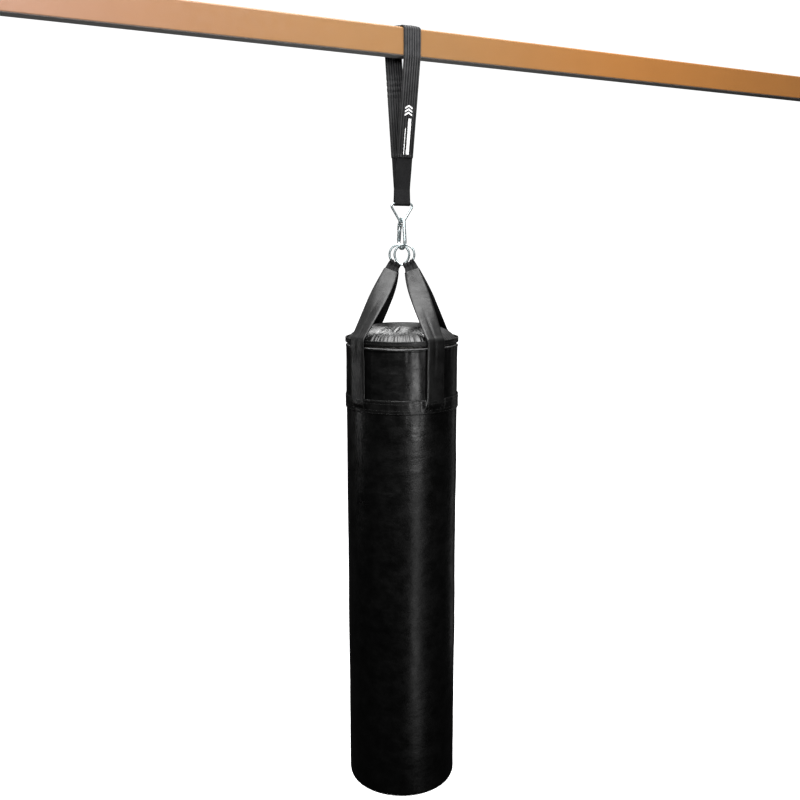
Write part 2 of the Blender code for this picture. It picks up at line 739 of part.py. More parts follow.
def make_band(name, side, stations, webbing):
    """One strap of webbing: up the front leg, over the ring's wire and down the back leg."""
    _, down, _ = ring_seat(side)
    edge_rise = RING_INNER - math.sqrt(RING_INNER**2 - (BAG_WEB_WIDTH_AT_RING / 2) ** 2) + GAP
    rings = []
    before = None
    for point, across, out, distance in stations:
        if before is not None and out.dot(before) < 0:
            out = -out
        before = out
        lift = -down * edge_rise * max(1 - distance / COVER_START, 0.0)
        width = web_width(distance)
        rings.append(flat_section(point, across, out, width, BAG_WEB_THICKNESS, lift, WEB_COLUMNS))
    add_strap(name, skin(rings, False), webbing)


# ---------------------------------------------------------------- bag


def make_bag(vinyl, foam, textile):
    middle = BAND_MIDDLE_Z
    tube = [
        (BAG_RADIUS, middle - GAP / 2),
        (BAG_RADIUS, BOTTOM_RISE + GAP),
        (SHELL_INNER, BOTTOM_RISE + GAP),
        (SHELL_INNER, middle - GAP / 2),
    ]
    add_object("lower_shell", turned(tube), vinyl)
    collar = [
        (BAG_RADIUS, BAG_HEIGHT - GAP),
        (BAG_RADIUS, middle + GAP / 2),
        (SHELL_INNER, middle + GAP / 2),
        (SHELL_INNER, BAG_HEIGHT - GAP),
    ]
    add_object("upper_collar", turned(collar), vinyl)
    band_inner = BAG_RADIUS + GAP
    band_outer = band_inner + BAND_THICKNESS
    band = [
        (band_outer, BAND_TOP_Z),
        (band_outer, BAND_FOOT_Z),
        (band_inner, BAND_FOOT_Z),
        (band_inner, BAND_TOP_Z),
    ]
    add_object("seam_band", turned(band), vinyl)
    hem_outer = SHELL_INNER + HEM_THICKNESS
    hem = [
        (hem_outer, BAG_HEIGHT + HEM_HEIGHT),
        (hem_outer, BAG_HEIGHT),
        (SHELL_INNER, BAG_HEIGHT),
        (SHELL_INNER, BAG_HEIGHT + HEM_HEIGHT),
    ]
    add_object("rim_hem", turned(hem), vinyl)

    lid_radius = SHELL_INNER - GAP
    outside = dome(lid_radius, BAG_HEIGHT, LID_RISE)
    inside = dome(lid_radius - VINYL, BAG_HEIGHT, LID_RISE - VINYL)
    add_object("lid_panel", turned(outside + inside[::-1], closed=False), vinyl)

    underside = [(r, BOTTOM_RISE - z) for r, z in dome(BAG_RADIUS, 0, BOTTOM_RISE)]
    hollow = dome(SHELL_INNER, 0, BOTTOM_RISE)
    topside = [(r, min(BOTTOM_RISE + VINYL - z, BOTTOM_RISE)) for r, z in hollow]
    add_object("bottom_panel", turned(underside + topside[::-1], closed=False), vinyl)

    foam_outer = SHELL_INNER - GAP
    foam_inner = foam_outer - FOAM
    foam_foot = BOTTOM_RISE + VINYL + GAP
    foam_top = BAG_HEIGHT - GAP
    foam_tube = [
        (foam_outer, foam_top),
        (foam_outer, foam_foot),
        (foam_inner, foam_foot),
        (foam_inner, foam_top),
    ]
    add_object("foam_lining", turned(foam_tube), foam)
    fill_radius = foam_inner - GAP
    crown = dome(fill_radius, BAG_HEIGHT - VINYL - GAP, LID_RISE - VINYL - FOAM)
    core = [*crown, (fill_radius, foam_foot), (0, foam_foot)]
    add_object("filling", turned(core, closed=False), textile)


def dome(radius, base_z, rise):
    """Points of a soft dome, from its crown on the axis to its edge at base_z."""
    points = []
    for k in range(DOME_STEPS + 1):
        angle = math.pi / 2 * k / DOME_STEPS
        points.append((radius * math.sin(angle), base_z + rise * math.cos(angle)))
    points[0] = (0.0, base_z + rise)
    return points


# ---------------------------------------------------------------- assembly


def main():
    clear_scene()
    orange_paint = material("orange paint", (0.55, 0.28, 0.10), 0.45)
    black_web = material("black webbing", (0.02, 0.02, 0.022), 0.85)
    sleeve_web = material("sleeve webbing", (0.05, 0.05, 0.055), 0.9)
    zinc = material("zinc plate", (0.55, 0.55, 0.56), 0.3, 1.0)
    vinyl = material("black vinyl", (0.018, 0.018, 0.02), 0.38)
    foam = material("grey foam", (0.3, 0.3, 0.3), 0.95)
    textile = material("textile filling", (0.4, 0.38, 0.36), 0.95)

    make_crossbeam(orange_paint)
    make_over_beam(black_web, sleeve_web)
    make_hanger(black_web, sleeve_web)
    make_delta_ring(zinc)
    body, pin, tip, along = make_hook(zinc)
    make_gate(body, pin, tip, along, zinc)
    make_ring("ring_left", -1, zinc)
    make_ring("ring_right", 1, zinc)
    make_bag_straps(black_web, vinyl)
    make_bag(vinyl, foam, textile)


main()
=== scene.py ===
# %% [markdown]
# # A heavy punching bag on a crossbeam
#
# The bag is a long vinyl tube packed with textile. Two covered straps carry it. They hang on two
# steel rings, the rings hang on a snap hook, and the hook hangs on a delta ring in the fold of a
# webbing strap that is looped over a painted steel beam.
#
# Everything here is built round a fixed frame: the solids of the working model, already in place
# and in metres. A hard piece of the frame can stay and get a better finish. Soft pieces are made
# again, because a plain solid can't show cloth, seams and folds.

# %% Load the frame
import math

import bmesh
import bpy
from mathutils import Matrix, Vector, noise


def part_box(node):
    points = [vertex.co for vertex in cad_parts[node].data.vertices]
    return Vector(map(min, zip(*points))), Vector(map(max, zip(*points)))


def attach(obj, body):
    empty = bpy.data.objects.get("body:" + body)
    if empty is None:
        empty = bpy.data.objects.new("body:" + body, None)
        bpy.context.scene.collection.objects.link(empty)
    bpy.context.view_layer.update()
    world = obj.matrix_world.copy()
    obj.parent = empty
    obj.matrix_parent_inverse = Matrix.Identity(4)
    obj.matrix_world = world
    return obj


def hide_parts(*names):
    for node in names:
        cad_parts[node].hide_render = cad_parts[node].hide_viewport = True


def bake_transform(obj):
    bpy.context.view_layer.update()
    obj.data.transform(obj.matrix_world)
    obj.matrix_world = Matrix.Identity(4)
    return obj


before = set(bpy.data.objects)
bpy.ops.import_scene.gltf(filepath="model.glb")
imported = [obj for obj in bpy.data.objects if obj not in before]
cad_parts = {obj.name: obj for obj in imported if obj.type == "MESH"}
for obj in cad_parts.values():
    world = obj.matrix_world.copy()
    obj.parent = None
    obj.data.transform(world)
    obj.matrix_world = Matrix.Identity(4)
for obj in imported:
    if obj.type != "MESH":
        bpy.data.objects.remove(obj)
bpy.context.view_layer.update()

# %% [markdown]
# ## Sizes
#
# Places are read from the frame, so that a piece sits where its solid sits. Sizes that a box can't
# tell, such as the thickness of webbing, are named once.

# %% Places from the frame
UP = Vector((0, 0, 1))
X_AXIS = Vector((1, 0, 0))
Y_AXIS = Vector((0, 1, 0))

beam_low, beam_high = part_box("crossbeam")
hem_low, hem_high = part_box("rim_hem")
band_low, band_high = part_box("seam_band")
lid_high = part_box("lid_panel")[1]
shell_low, shell_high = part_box("lower_shell")
delta_low, delta_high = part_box("delta_ring")
hook_low, hook_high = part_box("hook_body")
sleeve_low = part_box("sleeve_front")[0]

RIM_Z = hem_low.z
BAG_RADIUS = shell_high.x
BOTTOM_RISE = shell_low.z
RING_TURN = math.radians(-33.0)
RING_ALONG = Vector((math.cos(RING_TURN), math.sin(RING_TURN), 0))
RING_NORMAL = Vector((-math.sin(RING_TURN), math.cos(RING_TURN), 0))
print("rim at", round(RIM_Z, 4), "m; bag radius", round(BAG_RADIUS, 4), "m")

# %% [markdown]
# ## Camera, light and floor
#
# A heavy bag is usually shown from the height of its hook, looking slightly down along its whole
# length. Black vinyl has hardly any colour of its own, so it is drawn by what it reflects. The
# room is bright above and dark below, so an upright wall stays black. A narrow tall light gives the
# long highlight down the tube, and lights overhead and high at the front show the lid, the straps
# and the steel.

# %% Camera
EYE = Vector((-1.021, -2.094, 1.507))
YAW = math.radians(-25.87)
PITCH = math.radians(-9.8)
LENS = 38.7
SENSOR = 36.0

camera_data = bpy.data.cameras.new("camera")
camera_data.lens = LENS
camera_data.sensor_width = SENSOR
camera_data.clip_end = 100.0
camera = bpy.data.objects.new("camera", camera_data)
camera.location = EYE
camera.rotation_euler = (math.pi / 2 + PITCH, 0.0, YAW)
bpy.context.scene.collection.objects.link(camera)
bpy.context.scene.camera = camera
print("camera", round(EYE.length, 2), "m from the foot of the bag")


# %% Soft lights
def soft_light(name, place, target, size, power, colour=(1, 1, 1)):
    """A rectangular soft box that faces its target."""
    data = bpy.data.lights.new(name, "AREA")
    data.shape = "RECTANGLE"
    data.size, data.size_y = size
    data.energy = power
    data.color = colour
    light = bpy.data.objects.new(name, data)
    light.location = place
    light.rotation_euler = (Vector(target) - Vector(place)).to_track_quat("-Z", "Y").to_euler()
    light.visible_camera = False
    bpy.context.scene.collection.objects.link(light)
    return light


soft_light("overhead_light", (-0.2, -0.6, 3.7), (0, 0, 1.2), (2.4, 2.0), 150)
soft_light("high_front_light", (-1.6, -2.6, 2.9), (0, 0, 1.7), (1.8, 1.0), 85)
soft_light("tall_strip_light", (0.04, -1.0, 0.42), (0, 0, 0.42), (0.24, 1.5), 1.8)
soft_light("collar_light", (0.02, -1.0, 1.02), (0, 0, 1.15), (0.2, 0.3), 1.7)
soft_light("left_rim_light", (-1.5, 0.9, 1.2), (0, 0, 1.1), (0.12, 0.9), 2.5)
soft_light("back_light", (0.6, 1.7, 3.5), (0, 0, 1.4), (1.6, 1.0), 60)
soft_light("back_strip_light", (0.25, 1.1, 0.4), (0, 0, 0.4), (0.2, 1.5), 1.6)
soft_light("side_strip_light", (1.3, 0.35, 0.5), (0, 0, 0.5), (0.2, 1.5), 0.35)

# %% Surroundings
world = bpy.data.worlds.new("studio")
world.use_nodes = True
bpy.context.scene.world = world
sky = world.node_tree
backdrop = sky.nodes["Background"]
backdrop.inputs["Color"].default_value = (1, 1, 1, 1)
backdrop.inputs["Strength"].default_value = 1.1
dim = sky.nodes.new("ShaderNodeBackground")
dim.inputs["Color"].default_value = (1, 1, 1, 1)
way = sky.nodes.new("ShaderNodeTexCoord")
way_parts = sky.nodes.new("ShaderNodeSeparateXYZ")
glow = sky.nodes.new("ShaderNodeMapRange")
glow.inputs["From Min"].default_value = 0.12
glow.inputs["From Max"].default_value = 0.55
glow.inputs["To Min"].default_value = 0.01
glow.inputs["To Max"].default_value = 0.65
sky.links.new(way.outputs["Generated"], way_parts.inputs[0])
sky.links.new(way_parts.outputs["Z"], glow.inputs["Value"])
sky.links.new(glow.outputs["Result"], dim.inputs["Strength"])
rays = sky.nodes.new("ShaderNodeLightPath")
choice = sky.nodes.new("ShaderNodeMixShader")
sky.links.new(rays.outputs["Is Camera Ray"], choice.inputs[0])
sky.links.new(dim.outputs[0], choice.inputs[1])
sky.links.new(backdrop.outputs[0], choice.inputs[2])
sky.links.new(choice.outputs[0], sky.nodes["World Output"].inputs["Surface"])
bpy.context.scene.view_settings.view_transform = "Standard"

# %% Floor
FLOOR_Z = -0.45
floor_shape = bmesh.new()
bmesh.ops.create_grid(floor_shape, x_segments=1, y_segments=1, size=30.0)
bmesh.ops.translate(floor_shape, verts=floor_shape.verts[:], vec=(0, 0, FLOOR_Z))
floor_mesh = bpy.data.meshes.new("floor")
floor_shape.to_mesh(floor_mesh)
floor_shape.free()
floor = bpy.data.objects.new("floor", floor_mesh)
floor.visible_glossy = False
floor.visible_shadow = False
floor.visible_diffuse = False
bpy.context.scene.collection.objects.link(floor)
floor_paint = bpy.data.materials.new("floor paint")
floor_paint.use_nodes = True
floor_mesh.materials.append(floor_paint)
floor_tree = floor_paint.node_tree
floor_shader = floor_tree.nodes["Principled BSDF"]
floor_shader.inputs["Base Color"].default_value = (0.93, 0.93, 0.93, 1)
floor_shader.inputs["Emission Color"].default_value = (1, 1, 1, 1)
floor_shader.inputs["Roughness"].default_value = 0.9
floor_place = floor_tree.nodes.new("ShaderNodeTexCoord")
floor_reach = floor_tree.nodes.new("ShaderNodeVectorMath")
floor_reach.operation = "LENGTH"
floor_glow = floor_tree.nodes.new("ShaderNodeMapRange")
floor_glow.inputs["From Min"].default_value = 0.2
floor_glow.inputs["From Max"].default_value = 3.5
floor_glow.inputs["To Min"].default_value = 0.5
floor_glow.inputs["To Max"].default_value = 0.85
floor_tree.links.new(floor_place.outputs["Object"], floor_reach.inputs[0])
floor_tree.links.new(floor_reach.outputs["Value"], floor_glow.inputs["Value"])
floor_tree.links.new(floor_glow.outputs["Result"], floor_shader.inputs["Emission Strength"])

# %% [markdown]
# ## Finishes
#
# A finish is a small tree of nodes in front of one shader. Fine texture goes into the bump, which
# bends the light without moving the surface, and colour varies a little everywhere, because no
# real surface is one flat colour.


# %% A helper for node trees
def new_finish(name, colour, roughness, metallic=0.0, specular=0.5):
    """A material with its constant values on the shader, and its node tree and shader to add to."""
    finish = bpy.data.materials.new(name)
    finish.use_nodes = True
    tree = finish.node_tree
    shader = tree.nodes["Principled BSDF"]
    shader.inputs["Base Color"].default_value = (*colour, 1)
    shader.inputs["Roughness"].default_value = roughness
    shader.inputs["Metallic"].default_value = metallic
    shader.inputs["Specular IOR Level"].default_value = specular
    return finish, tree, shader


def add_node(tree, kind, settings=None, **values):
    """One node, its settings, and its inputs: a value, or an output of another node to link from."""
    node = tree.nodes.new("ShaderNode" + kind)
    for key, value in (settings or {}).items():
        setattr(node, key, value)
    for key, value in values.items():
        socket = node.inputs[int(key[1:])] if key[0] == "i" and key[1:].isdigit() else node.inputs[key]
        if isinstance(value, bpy.types.NodeSocket):
            tree.links.new(value, socket)
        else:
            socket.default_value = value
    return node


def math_node(tree, operation, first, second=0.0, third=0.0):
    made = add_node(tree, "Math", {"operation": operation}, i0=first, i1=second, i2=third)
    return made.outputs[0]


def ramp(tree, factor, stops, smooth=True):
    """A colour ramp through (position, grey or colour) stops."""
    node = tree.nodes.new("ShaderNodeValToRGB")
    node.color_ramp.interpolation = "EASE" if smooth else "LINEAR"
    marks = node.color_ramp.elements
    while len(marks) < len(stops):
        marks.new(1.0)
    for mark, (position, colour) in zip(marks, stops):
        mark.position = position
        colour = (colour,) * 3 if isinstance(colour, (int, float)) else colour
        mark.color = (*colour, 1)
    tree.links.new(factor, node.inputs[0])
    return node.outputs[0]


def bumps(tree, shader, layers):
    """Chains bump nodes into the shader's normal. A layer is a height output, its depth and its strength."""
    normal = None
    for height, depth, strength in layers:
        node = add_node(tree, "Bump", Height=height, Distance=depth, Strength=strength)
        if normal is not None:
            tree.links.new(normal, node.inputs["Normal"])
        normal = node.outputs[0]
    tree.links.new(normal, shader.inputs["Normal"])


def noise_at(tree, vector, scale, detail=4.0, roughness=0.5):
    node = add_node(tree, "TexNoise", Vector=vector, Scale=scale, Detail=detail, Roughness=roughness)
    return node.outputs[0]


# %% [markdown]
# ### Beam paint
#
# The beam is painted orange on its face and top, with a painted sheen: the orange is whiter
# towards the left end and deeper towards the right. Its underside is bare galvanised steel, with a
# dark line of painted shade along the lower edge of the face. One material does both, by the
# height of the point on the beam. Paint has a faint orange-peel ripple and small scuffs.


# %% Beam paint
def make_beam_paint():
    finish, tree, shader = new_finish("beam paint", (0.55, 0.3, 0.15), 0.42)
    place = add_node(tree, "TexCoord").outputs["Object"]
    parts = add_node(tree, "SeparateXYZ", Vector=place)
    height = math_node(tree, "SUBTRACT", parts.outputs["Z"], beam_low.z)
    along = math_node(tree, "MULTIPLY_ADD", parts.outputs["X"], 1 / (beam_high.x - beam_low.x), 0.5)
    # painted sheen along the beam: whiter orange at the left end, deeper orange at the right
    paint = ramp(
        tree,
        along,
        [(0.1, (0.29, 0.135, 0.072)), (0.5, (0.285, 0.145, 0.054)), (0.78, (0.36, 0.148, 0.036))],
    )
    blotch = noise_at(tree, place, 9.0, 5.0, 0.6)
    mottled = add_node(
        tree, "Mix", {"data_type": "RGBA", "blend_type": "MULTIPLY"}, Factor=0.25
    )
    tree.links.new(paint, mottled.inputs["A"])
    tree.links.new(ramp(tree, blotch, [(0.3, 0.82), (0.7, 1.0)]), mottled.inputs["B"])
    # grey steel underside, then a dark line of painted shade on the lower edge of the face
    steel = ramp(tree, height, [(0.0, (0.55, 0.54, 0.53)), (0.0012, (0.10, 0.055, 0.03)), (0.0030, 0.0)])
    is_paint = ramp(tree, height, [(0.0022, 0.0), (0.0030, 1.0)], smooth=False)
    whole = add_node(tree, "Mix", {"data_type": "RGBA"})
    tree.links.new(is_paint, whole.inputs["Factor"])
    tree.links.new(steel, whole.inputs["A"])
    tree.links.new(mottled.outputs["Result"], whole.inputs["B"])
    tree.links.new(whole.outputs["Result"], shader.inputs["Base Color"])
    peel = noise_at(tree, place, 320.0, 2.0)
    scuffs = noise_at(tree, place, 60.0, 6.0, 0.7)
    tree.links.new(ramp(tree, scuffs, [(0.35, 0.34), (0.75, 0.52)]), shader.inputs["Roughness"])
    bumps(tree, shader, [(peel, 0.0004, 0.25), (scuffs, 0.0006, 0.12)])
    return finish


beam_paint = make_beam_paint()
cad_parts["crossbeam"].data.materials.clear()
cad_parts["crossbeam"].data.materials.append(beam_paint)
print("beam", round(beam_high.x - beam_low.x, 2), "m long")


# %% [markdown]
# ### Black vinyl
#
# Bag vinyl is a plasticised PVC with a fine leather grain and a satin gloss. Three layers of bump
# give it its look: grain under a millimetre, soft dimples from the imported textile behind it, and
# wide, faint waves that break up the long highlight.


# %% Black vinyl
def make_vinyl(name, gloss=0.32, grey=0.0009, grain=0.22, waves=0.45, specular=0.38):
    finish, tree, shader = new_finish(name, (grey, grey, grey * 1.06), gloss, specular=specular)
    place = add_node(tree, "TexCoord").outputs["Object"]
    cells = add_node(tree, "TexVoronoi", {"feature": "SMOOTH_F1"}, Vector=place, Scale=900.0)
    pebbles = noise_at(tree, place, 70.0, 5.0, 0.6)
    stretched = add_node(tree, "Mapping", Vector=place, Scale=(1.0, 1.0, 2.2))
    waves_height = noise_at(tree, stretched.outputs[0], 16.0, 3.0, 0.5)
    smudges = noise_at(tree, place, 24.0, 6.0, 0.65)
    tree.links.new(
        ramp(tree, smudges, [(0.3, gloss - 0.05), (0.7, gloss + 0.09)]), shader.inputs["Roughness"]
    )
    tint = ramp(tree, pebbles, [(0.3, grey * 0.8), (0.75, grey * 1.5)])
    tree.links.new(tint, shader.inputs["Base Color"])
    bumps(
        tree,
        shader,
        [(waves_height, 0.004, waves), (pebbles, 0.0008, 0.3), (cells.outputs["Distance"], 0.0002, grain)],
    )
    return finish


bag_vinyl = make_vinyl("bag vinyl")
cover_vinyl = make_vinyl("cover vinyl", gloss=0.4, grey=0.0012, waves=0.3, specular=0.42)


def make_thread():
    finish, tree, shader = new_finish("black thread", (0.012, 0.012, 0.013), 0.45)
    twist = add_node(tree, "TexCoord").outputs["Object"]
    strands = noise_at(tree, twist, 1600.0, 2.0)
    tree.links.new(ramp(tree, strands, [(0.3, 0.008), (0.7, 0.022)]), shader.inputs["Base Color"])
    bumps(tree, shader, [(strands, 0.0002, 0.5)])
    return finish


thread = make_thread()

# %% [markdown]
# ### Webbing
#
# Webbing is woven, so its texture runs with the strap and not with the room. Each strip carries a
# UV map in metres: U across the strap and V along it. Ribs and weft rows are then plain waves of
# those two numbers, at the spacing of the real yarns.


# %% Webbing
def make_webbing(name, dark, light, rib, weft, wear=0.4, gloss=0.7, painted_shade_from=None):
    finish, tree, shader = new_finish(name, dark, gloss, specular=0.18)
    where = add_node(tree, "UVMap").outputs[0]
    parts = add_node(tree, "SeparateXYZ", Vector=where)
    ribs = math_node(tree, "SINE", math_node(tree, "MULTIPLY", parts.outputs["X"], 2 * math.pi / rib))
    rows = math_node(tree, "SINE", math_node(tree, "MULTIPLY", parts.outputs["Y"], 2 * math.pi / weft))
    checks = math_node(tree, "MULTIPLY", ribs, rows)
    weave = math_node(tree, "MULTIPLY_ADD", ribs, 0.3, math_node(tree, "MULTIPLY_ADD", checks, 0.2, 0.5))
    place = add_node(tree, "TexCoord").outputs["Object"]
    fade = noise_at(tree, place, 45.0, 5.0, 0.6)
    worn = math_node(tree, "MULTIPLY_ADD", math_node(tree, "SUBTRACT", fade, 0.5), wear, weave)
    colour = ramp(tree, worn, [(0.2, dark), (0.85, light)])
    # painted shade: below the beam the colour darkens downwards, by height
    if painted_shade_from:
        height = add_node(tree, "SeparateXYZ", Vector=place).outputs["Z"]
        painted_shade_ramp = add_node(
            tree, "MapRange", i0=height, i1=painted_shade_from, i2=beam_low.z, i3=0.32, i4=1.0
        ).outputs[0]
        painted_shade_mix = add_node(tree, "Mix", {"data_type": "RGBA", "blend_type": "MULTIPLY"}, i0=1.0)
        tree.links.new(colour, painted_shade_mix.inputs["A"])
        tree.links.new(painted_shade_ramp, painted_shade_mix.inputs["B"])
        colour = painted_shade_mix.outputs["Result"]
    tree.links.new(colour, shader.inputs["Base Color"])
    shader.inputs["Sheen Weight"].default_value = 0.06
    shader.inputs["Sheen Roughness"].default_value = 0.4
    bumps(tree, shader, [(weave, 0.0006, 0.7), (noise_at(tree, where, 900.0, 3.0), 0.0002, 0.4)])
    return finish


# painted shade on the sleeve, darker downwards from the beam
PAINTED_SHADE_DROP = 0.21  # the sleeve darkens downwards, and is darkest this far below the beam
black_webbing = make_webbing("black webbing", (0.001, 0.001, 0.0012), (0.014, 0.014, 0.015), 0.0022, 0.0028)
sleeve_webbing = make_webbing(
    "sleeve webbing",
    (0.004, 0.004, 0.0045),
    (0.062, 0.062, 0.064),
    0.0068,
    0.0036,
    wear=0.7,
    gloss=0.6,
    painted_shade_from=beam_low.z - PAINTED_SHADE_DROP,
)

# %% [markdown]
# ### Zinc and print
#
# The rings and the hook are zinc plated: bright, a little blue, and slightly uneven in gloss. The
# strap carries a plain printed pattern in off-white ink.

# %% Zinc and ink
zinc, zinc_tree, zinc_shader = new_finish("zinc plate", (0.50, 0.57, 0.58), 0.3, metallic=0.85)
zinc_place = add_node(zinc_tree, "TexCoord").outputs["Object"]
zinc_cloud = noise_at(zinc_tree, zinc_place, 90.0, 3.0, 0.5)
zinc_tree.links.new(ramp(zinc_tree, zinc_cloud, [(0.3, 0.28), (0.75, 0.38)]), zinc_shader.inputs["Roughness"])
bumps(zinc_tree, zinc_shader, [(noise_at(zinc_tree, zinc_place, 160.0, 2.0), 0.0001, 0.05)])
ink = new_finish("off-white ink", (0.82, 0.82, 0.82), 0.6)[0]

# %% [markdown]
# ## Working tools
#
# Straps are made the way they are cut: each one starts as a flat strip, with its width along X and
# its length along Y, and gets its folds, ribs and stitches while it is flat. Then it is laid along
# its route. The same tool wraps a band round the bag, because a circle is a route too.


# %% Make an object
def add_piece(name, shape, finish, body, smooth_angle=40.0):
    """Makes a piece from a bmesh, at the origin, riding on a body."""
    mesh = bpy.data.meshes.new(name)
    shape.to_mesh(mesh)
    shape.free()
    mesh.shade_smooth()
    mesh.set_sharp_from_angle(angle=math.radians(smooth_angle))
    mesh.materials.append(finish)
    piece = bpy.data.objects.new(name, mesh)
    bpy.context.scene.collection.objects.link(piece)
    if body:
        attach(piece, body)
    print(f"{name}: {len(mesh.polygons)} faces")
    return piece


def thicken(piece, thickness, offset=-1.0, even=True):
    """Gives a sheet its thickness, inwards by default, and rounds its rims."""
    wall = piece.modifiers.new("Thickness", "SOLIDIFY")
    wall.thickness = thickness
    wall.offset = offset
    wall.use_even_offset = even
    rim = piece.modifiers.new("Rounded rim", "BEVEL")
    rim.width = thickness * 0.3
    rim.segments = 2
    rim.limit_method = "ANGLE"
    rim.angle_limit = math.radians(60)


# %% Routes
def smooth_path(points, steps):
    """Points on a smooth curve through the points given, with a step count for each stretch."""
    ends = [2 * points[0] - points[1], *points, 2 * points[-1] - points[-2]]
    path = []
    for i, count in enumerate(steps):
        a, b, c, d = ends[i : i + 4]
        for k in range(count):
            t = k / count
            linear = (c - a) * t
            square = (2 * a - 5 * b + 4 * c - d) * t**2
            cube = (3 * b - a - 3 * c + d) * t**3
            path.append(0.5 * (2 * b + linear + square + cube))
    path.append(points[-1])
    return path


def make_route(path, across_at):
    """Stations along a path: distance, point, way across the strap and way out of its face."""
    lengths = [0.0]
    for before, after in zip(path, path[1:]):
        lengths.append(lengths[-1] + (after - before).length)
    route = []
    for i, point in enumerate(path):
        along = (path[min(i + 1, len(path) - 1)] - path[max(i - 1, 0)]).normalized()
        across = across_at(lengths[i] / lengths[-1], point)
        across = (across - across.dot(along) * along).normalized()
        route.append((lengths[i], point, across, across.cross(along).normalized()))
    return route


def station(route, distance):
    """The point, the way across and the way out at a distance along a route."""
    low, high = 0, len(route) - 2
    while low < high:
        middle = (low + high + 1) // 2
        if route[middle][0] <= distance:
            low = middle
        else:
            high = middle - 1
    here, there = route[low], route[low + 1]
    share = (distance - here[0]) / (there[0] - here[0])
    return [a.lerp(b, share) for a, b in zip(here[1:], there[1:])]


def lay(shape, route):
    """Carries a flat shape to its place: X goes across the strap, Y along it and Z out of its face."""
    stations = {}
    for vertex in shape.verts:
        across_by, distance, out_by = vertex.co
        key = round(distance, 6)
        if key not in stations:
            stations[key] = station(route, distance)
        point, across, out = stations[key]
        vertex.co = point + across * across_by + out * out_by


# %% Flat strips, flat tubes and stitches
def flat_strip(start, end, columns, rows, shape_at):
    """A strip. shape_at gives the shift across and out for a share of the width from -1 to 1."""
    shape = bmesh.new()
    uv = shape.loops.layers.uv.new("UVMap")
    bmesh.ops.create_grid(shape, x_segments=columns, y_segments=rows, size=0.5)
    flat = {}
    for vertex in shape.verts:
        share = 2 * vertex.co.x
        distance = start + (end - start) * (vertex.co.y + 0.5)
        shift, rise = shape_at(share, distance)
        flat[vertex] = (shift, distance)
        vertex.co = (shift, distance, rise)
    for face in shape.faces:
        for loop in face.loops:
            loop[uv].uv = flat[loop.vert]
    return shape


def flat_tube(start, end, columns, rows, shape_at):
    """A tube pressed flat. shape_at gives half its width and half its thickness for a distance."""
    shape = bmesh.new()
    uv = shape.loops.layers.uv.new("UVMap")
    bmesh.ops.create_grid(shape, x_segments=columns, y_segments=rows, size=0.5)
    for face in shape.faces:
        for loop in face.loops:
            x = loop.vert.co.x + 0.5
            distance = start + (end - start) * (loop.vert.co.y + 0.5)
            half = shape_at(0.0, 1, distance)[0]
            loop[uv].uv = (-math.cos(2 * math.pi * x) * half, distance)
    for vertex in shape.verts:
        turn = 2 * math.pi * (vertex.co.x + 0.5)
        distance = start + (end - start) * (vertex.co.y + 0.5)
        share = -math.cos(turn)
        face_side = 1 if math.sin(turn) >= 0 else -1
        half, thick = shape_at(share, face_side, distance)
        rounding = abs(math.sin(turn)) ** 0.45
        vertex.co = (share * half, distance, face_side * thick * rounding)
    bmesh.ops.remove_doubles(shape, verts=shape.verts[:], dist=1e-6)
    return shape


def stitch_maker():
    """One small round-ended stitch, and a function that adds copies of it to a shape."""
    unit = bmesh.new()
    bmesh.ops.create_uvsphere(unit, u_segments=6, v_segments=4, radius=0.5)
    one = bpy.data.meshes.new("one stitch")
    unit.to_mesh(one)
    unit.free()

    corners = [v.co.copy() for v in one.vertices]

    def add_stitch(shape, matrix):
        for vertex, corner in zip(one.vertices, corners):
            vertex.co = matrix @ corner
        shape.from_mesh(one)

    return add_stitch


add_stitch = stitch_maker()


def flat_stitches(rows, start, end, pitch, length, thickness, rise=0.0):
    """Rows of stitches along Y. A row is a shift across, or a function that gives it at a distance."""
    shape = bmesh.new()
    count = max(1, int((end - start) / pitch))
    size = Matrix.Diagonal((thickness, length, thickness, 1))
    for row in rows:
        for i in range(count):
            distance = start + pitch * (i + 0.5)
            shift = row(distance) if callable(row) else row
            height = rise(distance, shift) if callable(rise) else rise
            add_stitch(shape, Matrix.Translation((shift, distance, height)) @ size)
    return shape


# %% Turned pieces
def turned(profile, sides):
    """Turns (radius, height) points about Z into a skin with its faces outwards."""
    shape = bmesh.new()
    outline = [shape.verts.new((radius, 0, height)) for radius, height in profile]
    edges = [shape.edges.new(pair) for pair in zip(outline, outline[1:])]
    bmesh.ops.spin(
        shape,
        geom=outline + edges,
        cent=(0, 0, 0),
        axis=(0, 0, 1),
        angle=2 * math.pi,
        steps=sides,
        use_merge=True,
    )
    bmesh.ops.remove_doubles(shape, verts=shape.verts[:], dist=1e-6)
    bmesh.ops.recalc_face_normals(shape, faces=shape.faces[:])
    return shape


HOOP_STEPS = 360


def hoop(radius, z):
    """A route once round the bag, anticlockwise from the back, with its width upright."""
    path = []
    for i in range(HOOP_STEPS + 1):
        angle = math.pi / 2 + 2 * math.pi * i / HOOP_STEPS
        path.append(Vector((radius * math.cos(angle), radius * math.sin(angle), z)))
    route = make_route(path, lambda share, point: UP)
    distance, _, _, _ = route[-1]
    out = Y_AXIS
    route[0] = (0.0, path[0], UP, out)
    route[-1] = (distance, path[0], UP, out)
    return [(d, p, UP, Vector((p.x, p.y, 0)).normalized()) for d, p, _, _ in route]


# %% [markdown]
# ## The strap over the beam
#
# One strap of webbing goes up the front, over the beam and down the back. A ribbed sleeve covers
# its upper part and protects it from the steel. The strap bends where it leaves the beam, so the
# sleeve and the webbing are blended there: above the beam's underside they follow the beam, and a
# little lower they follow the hanging part.

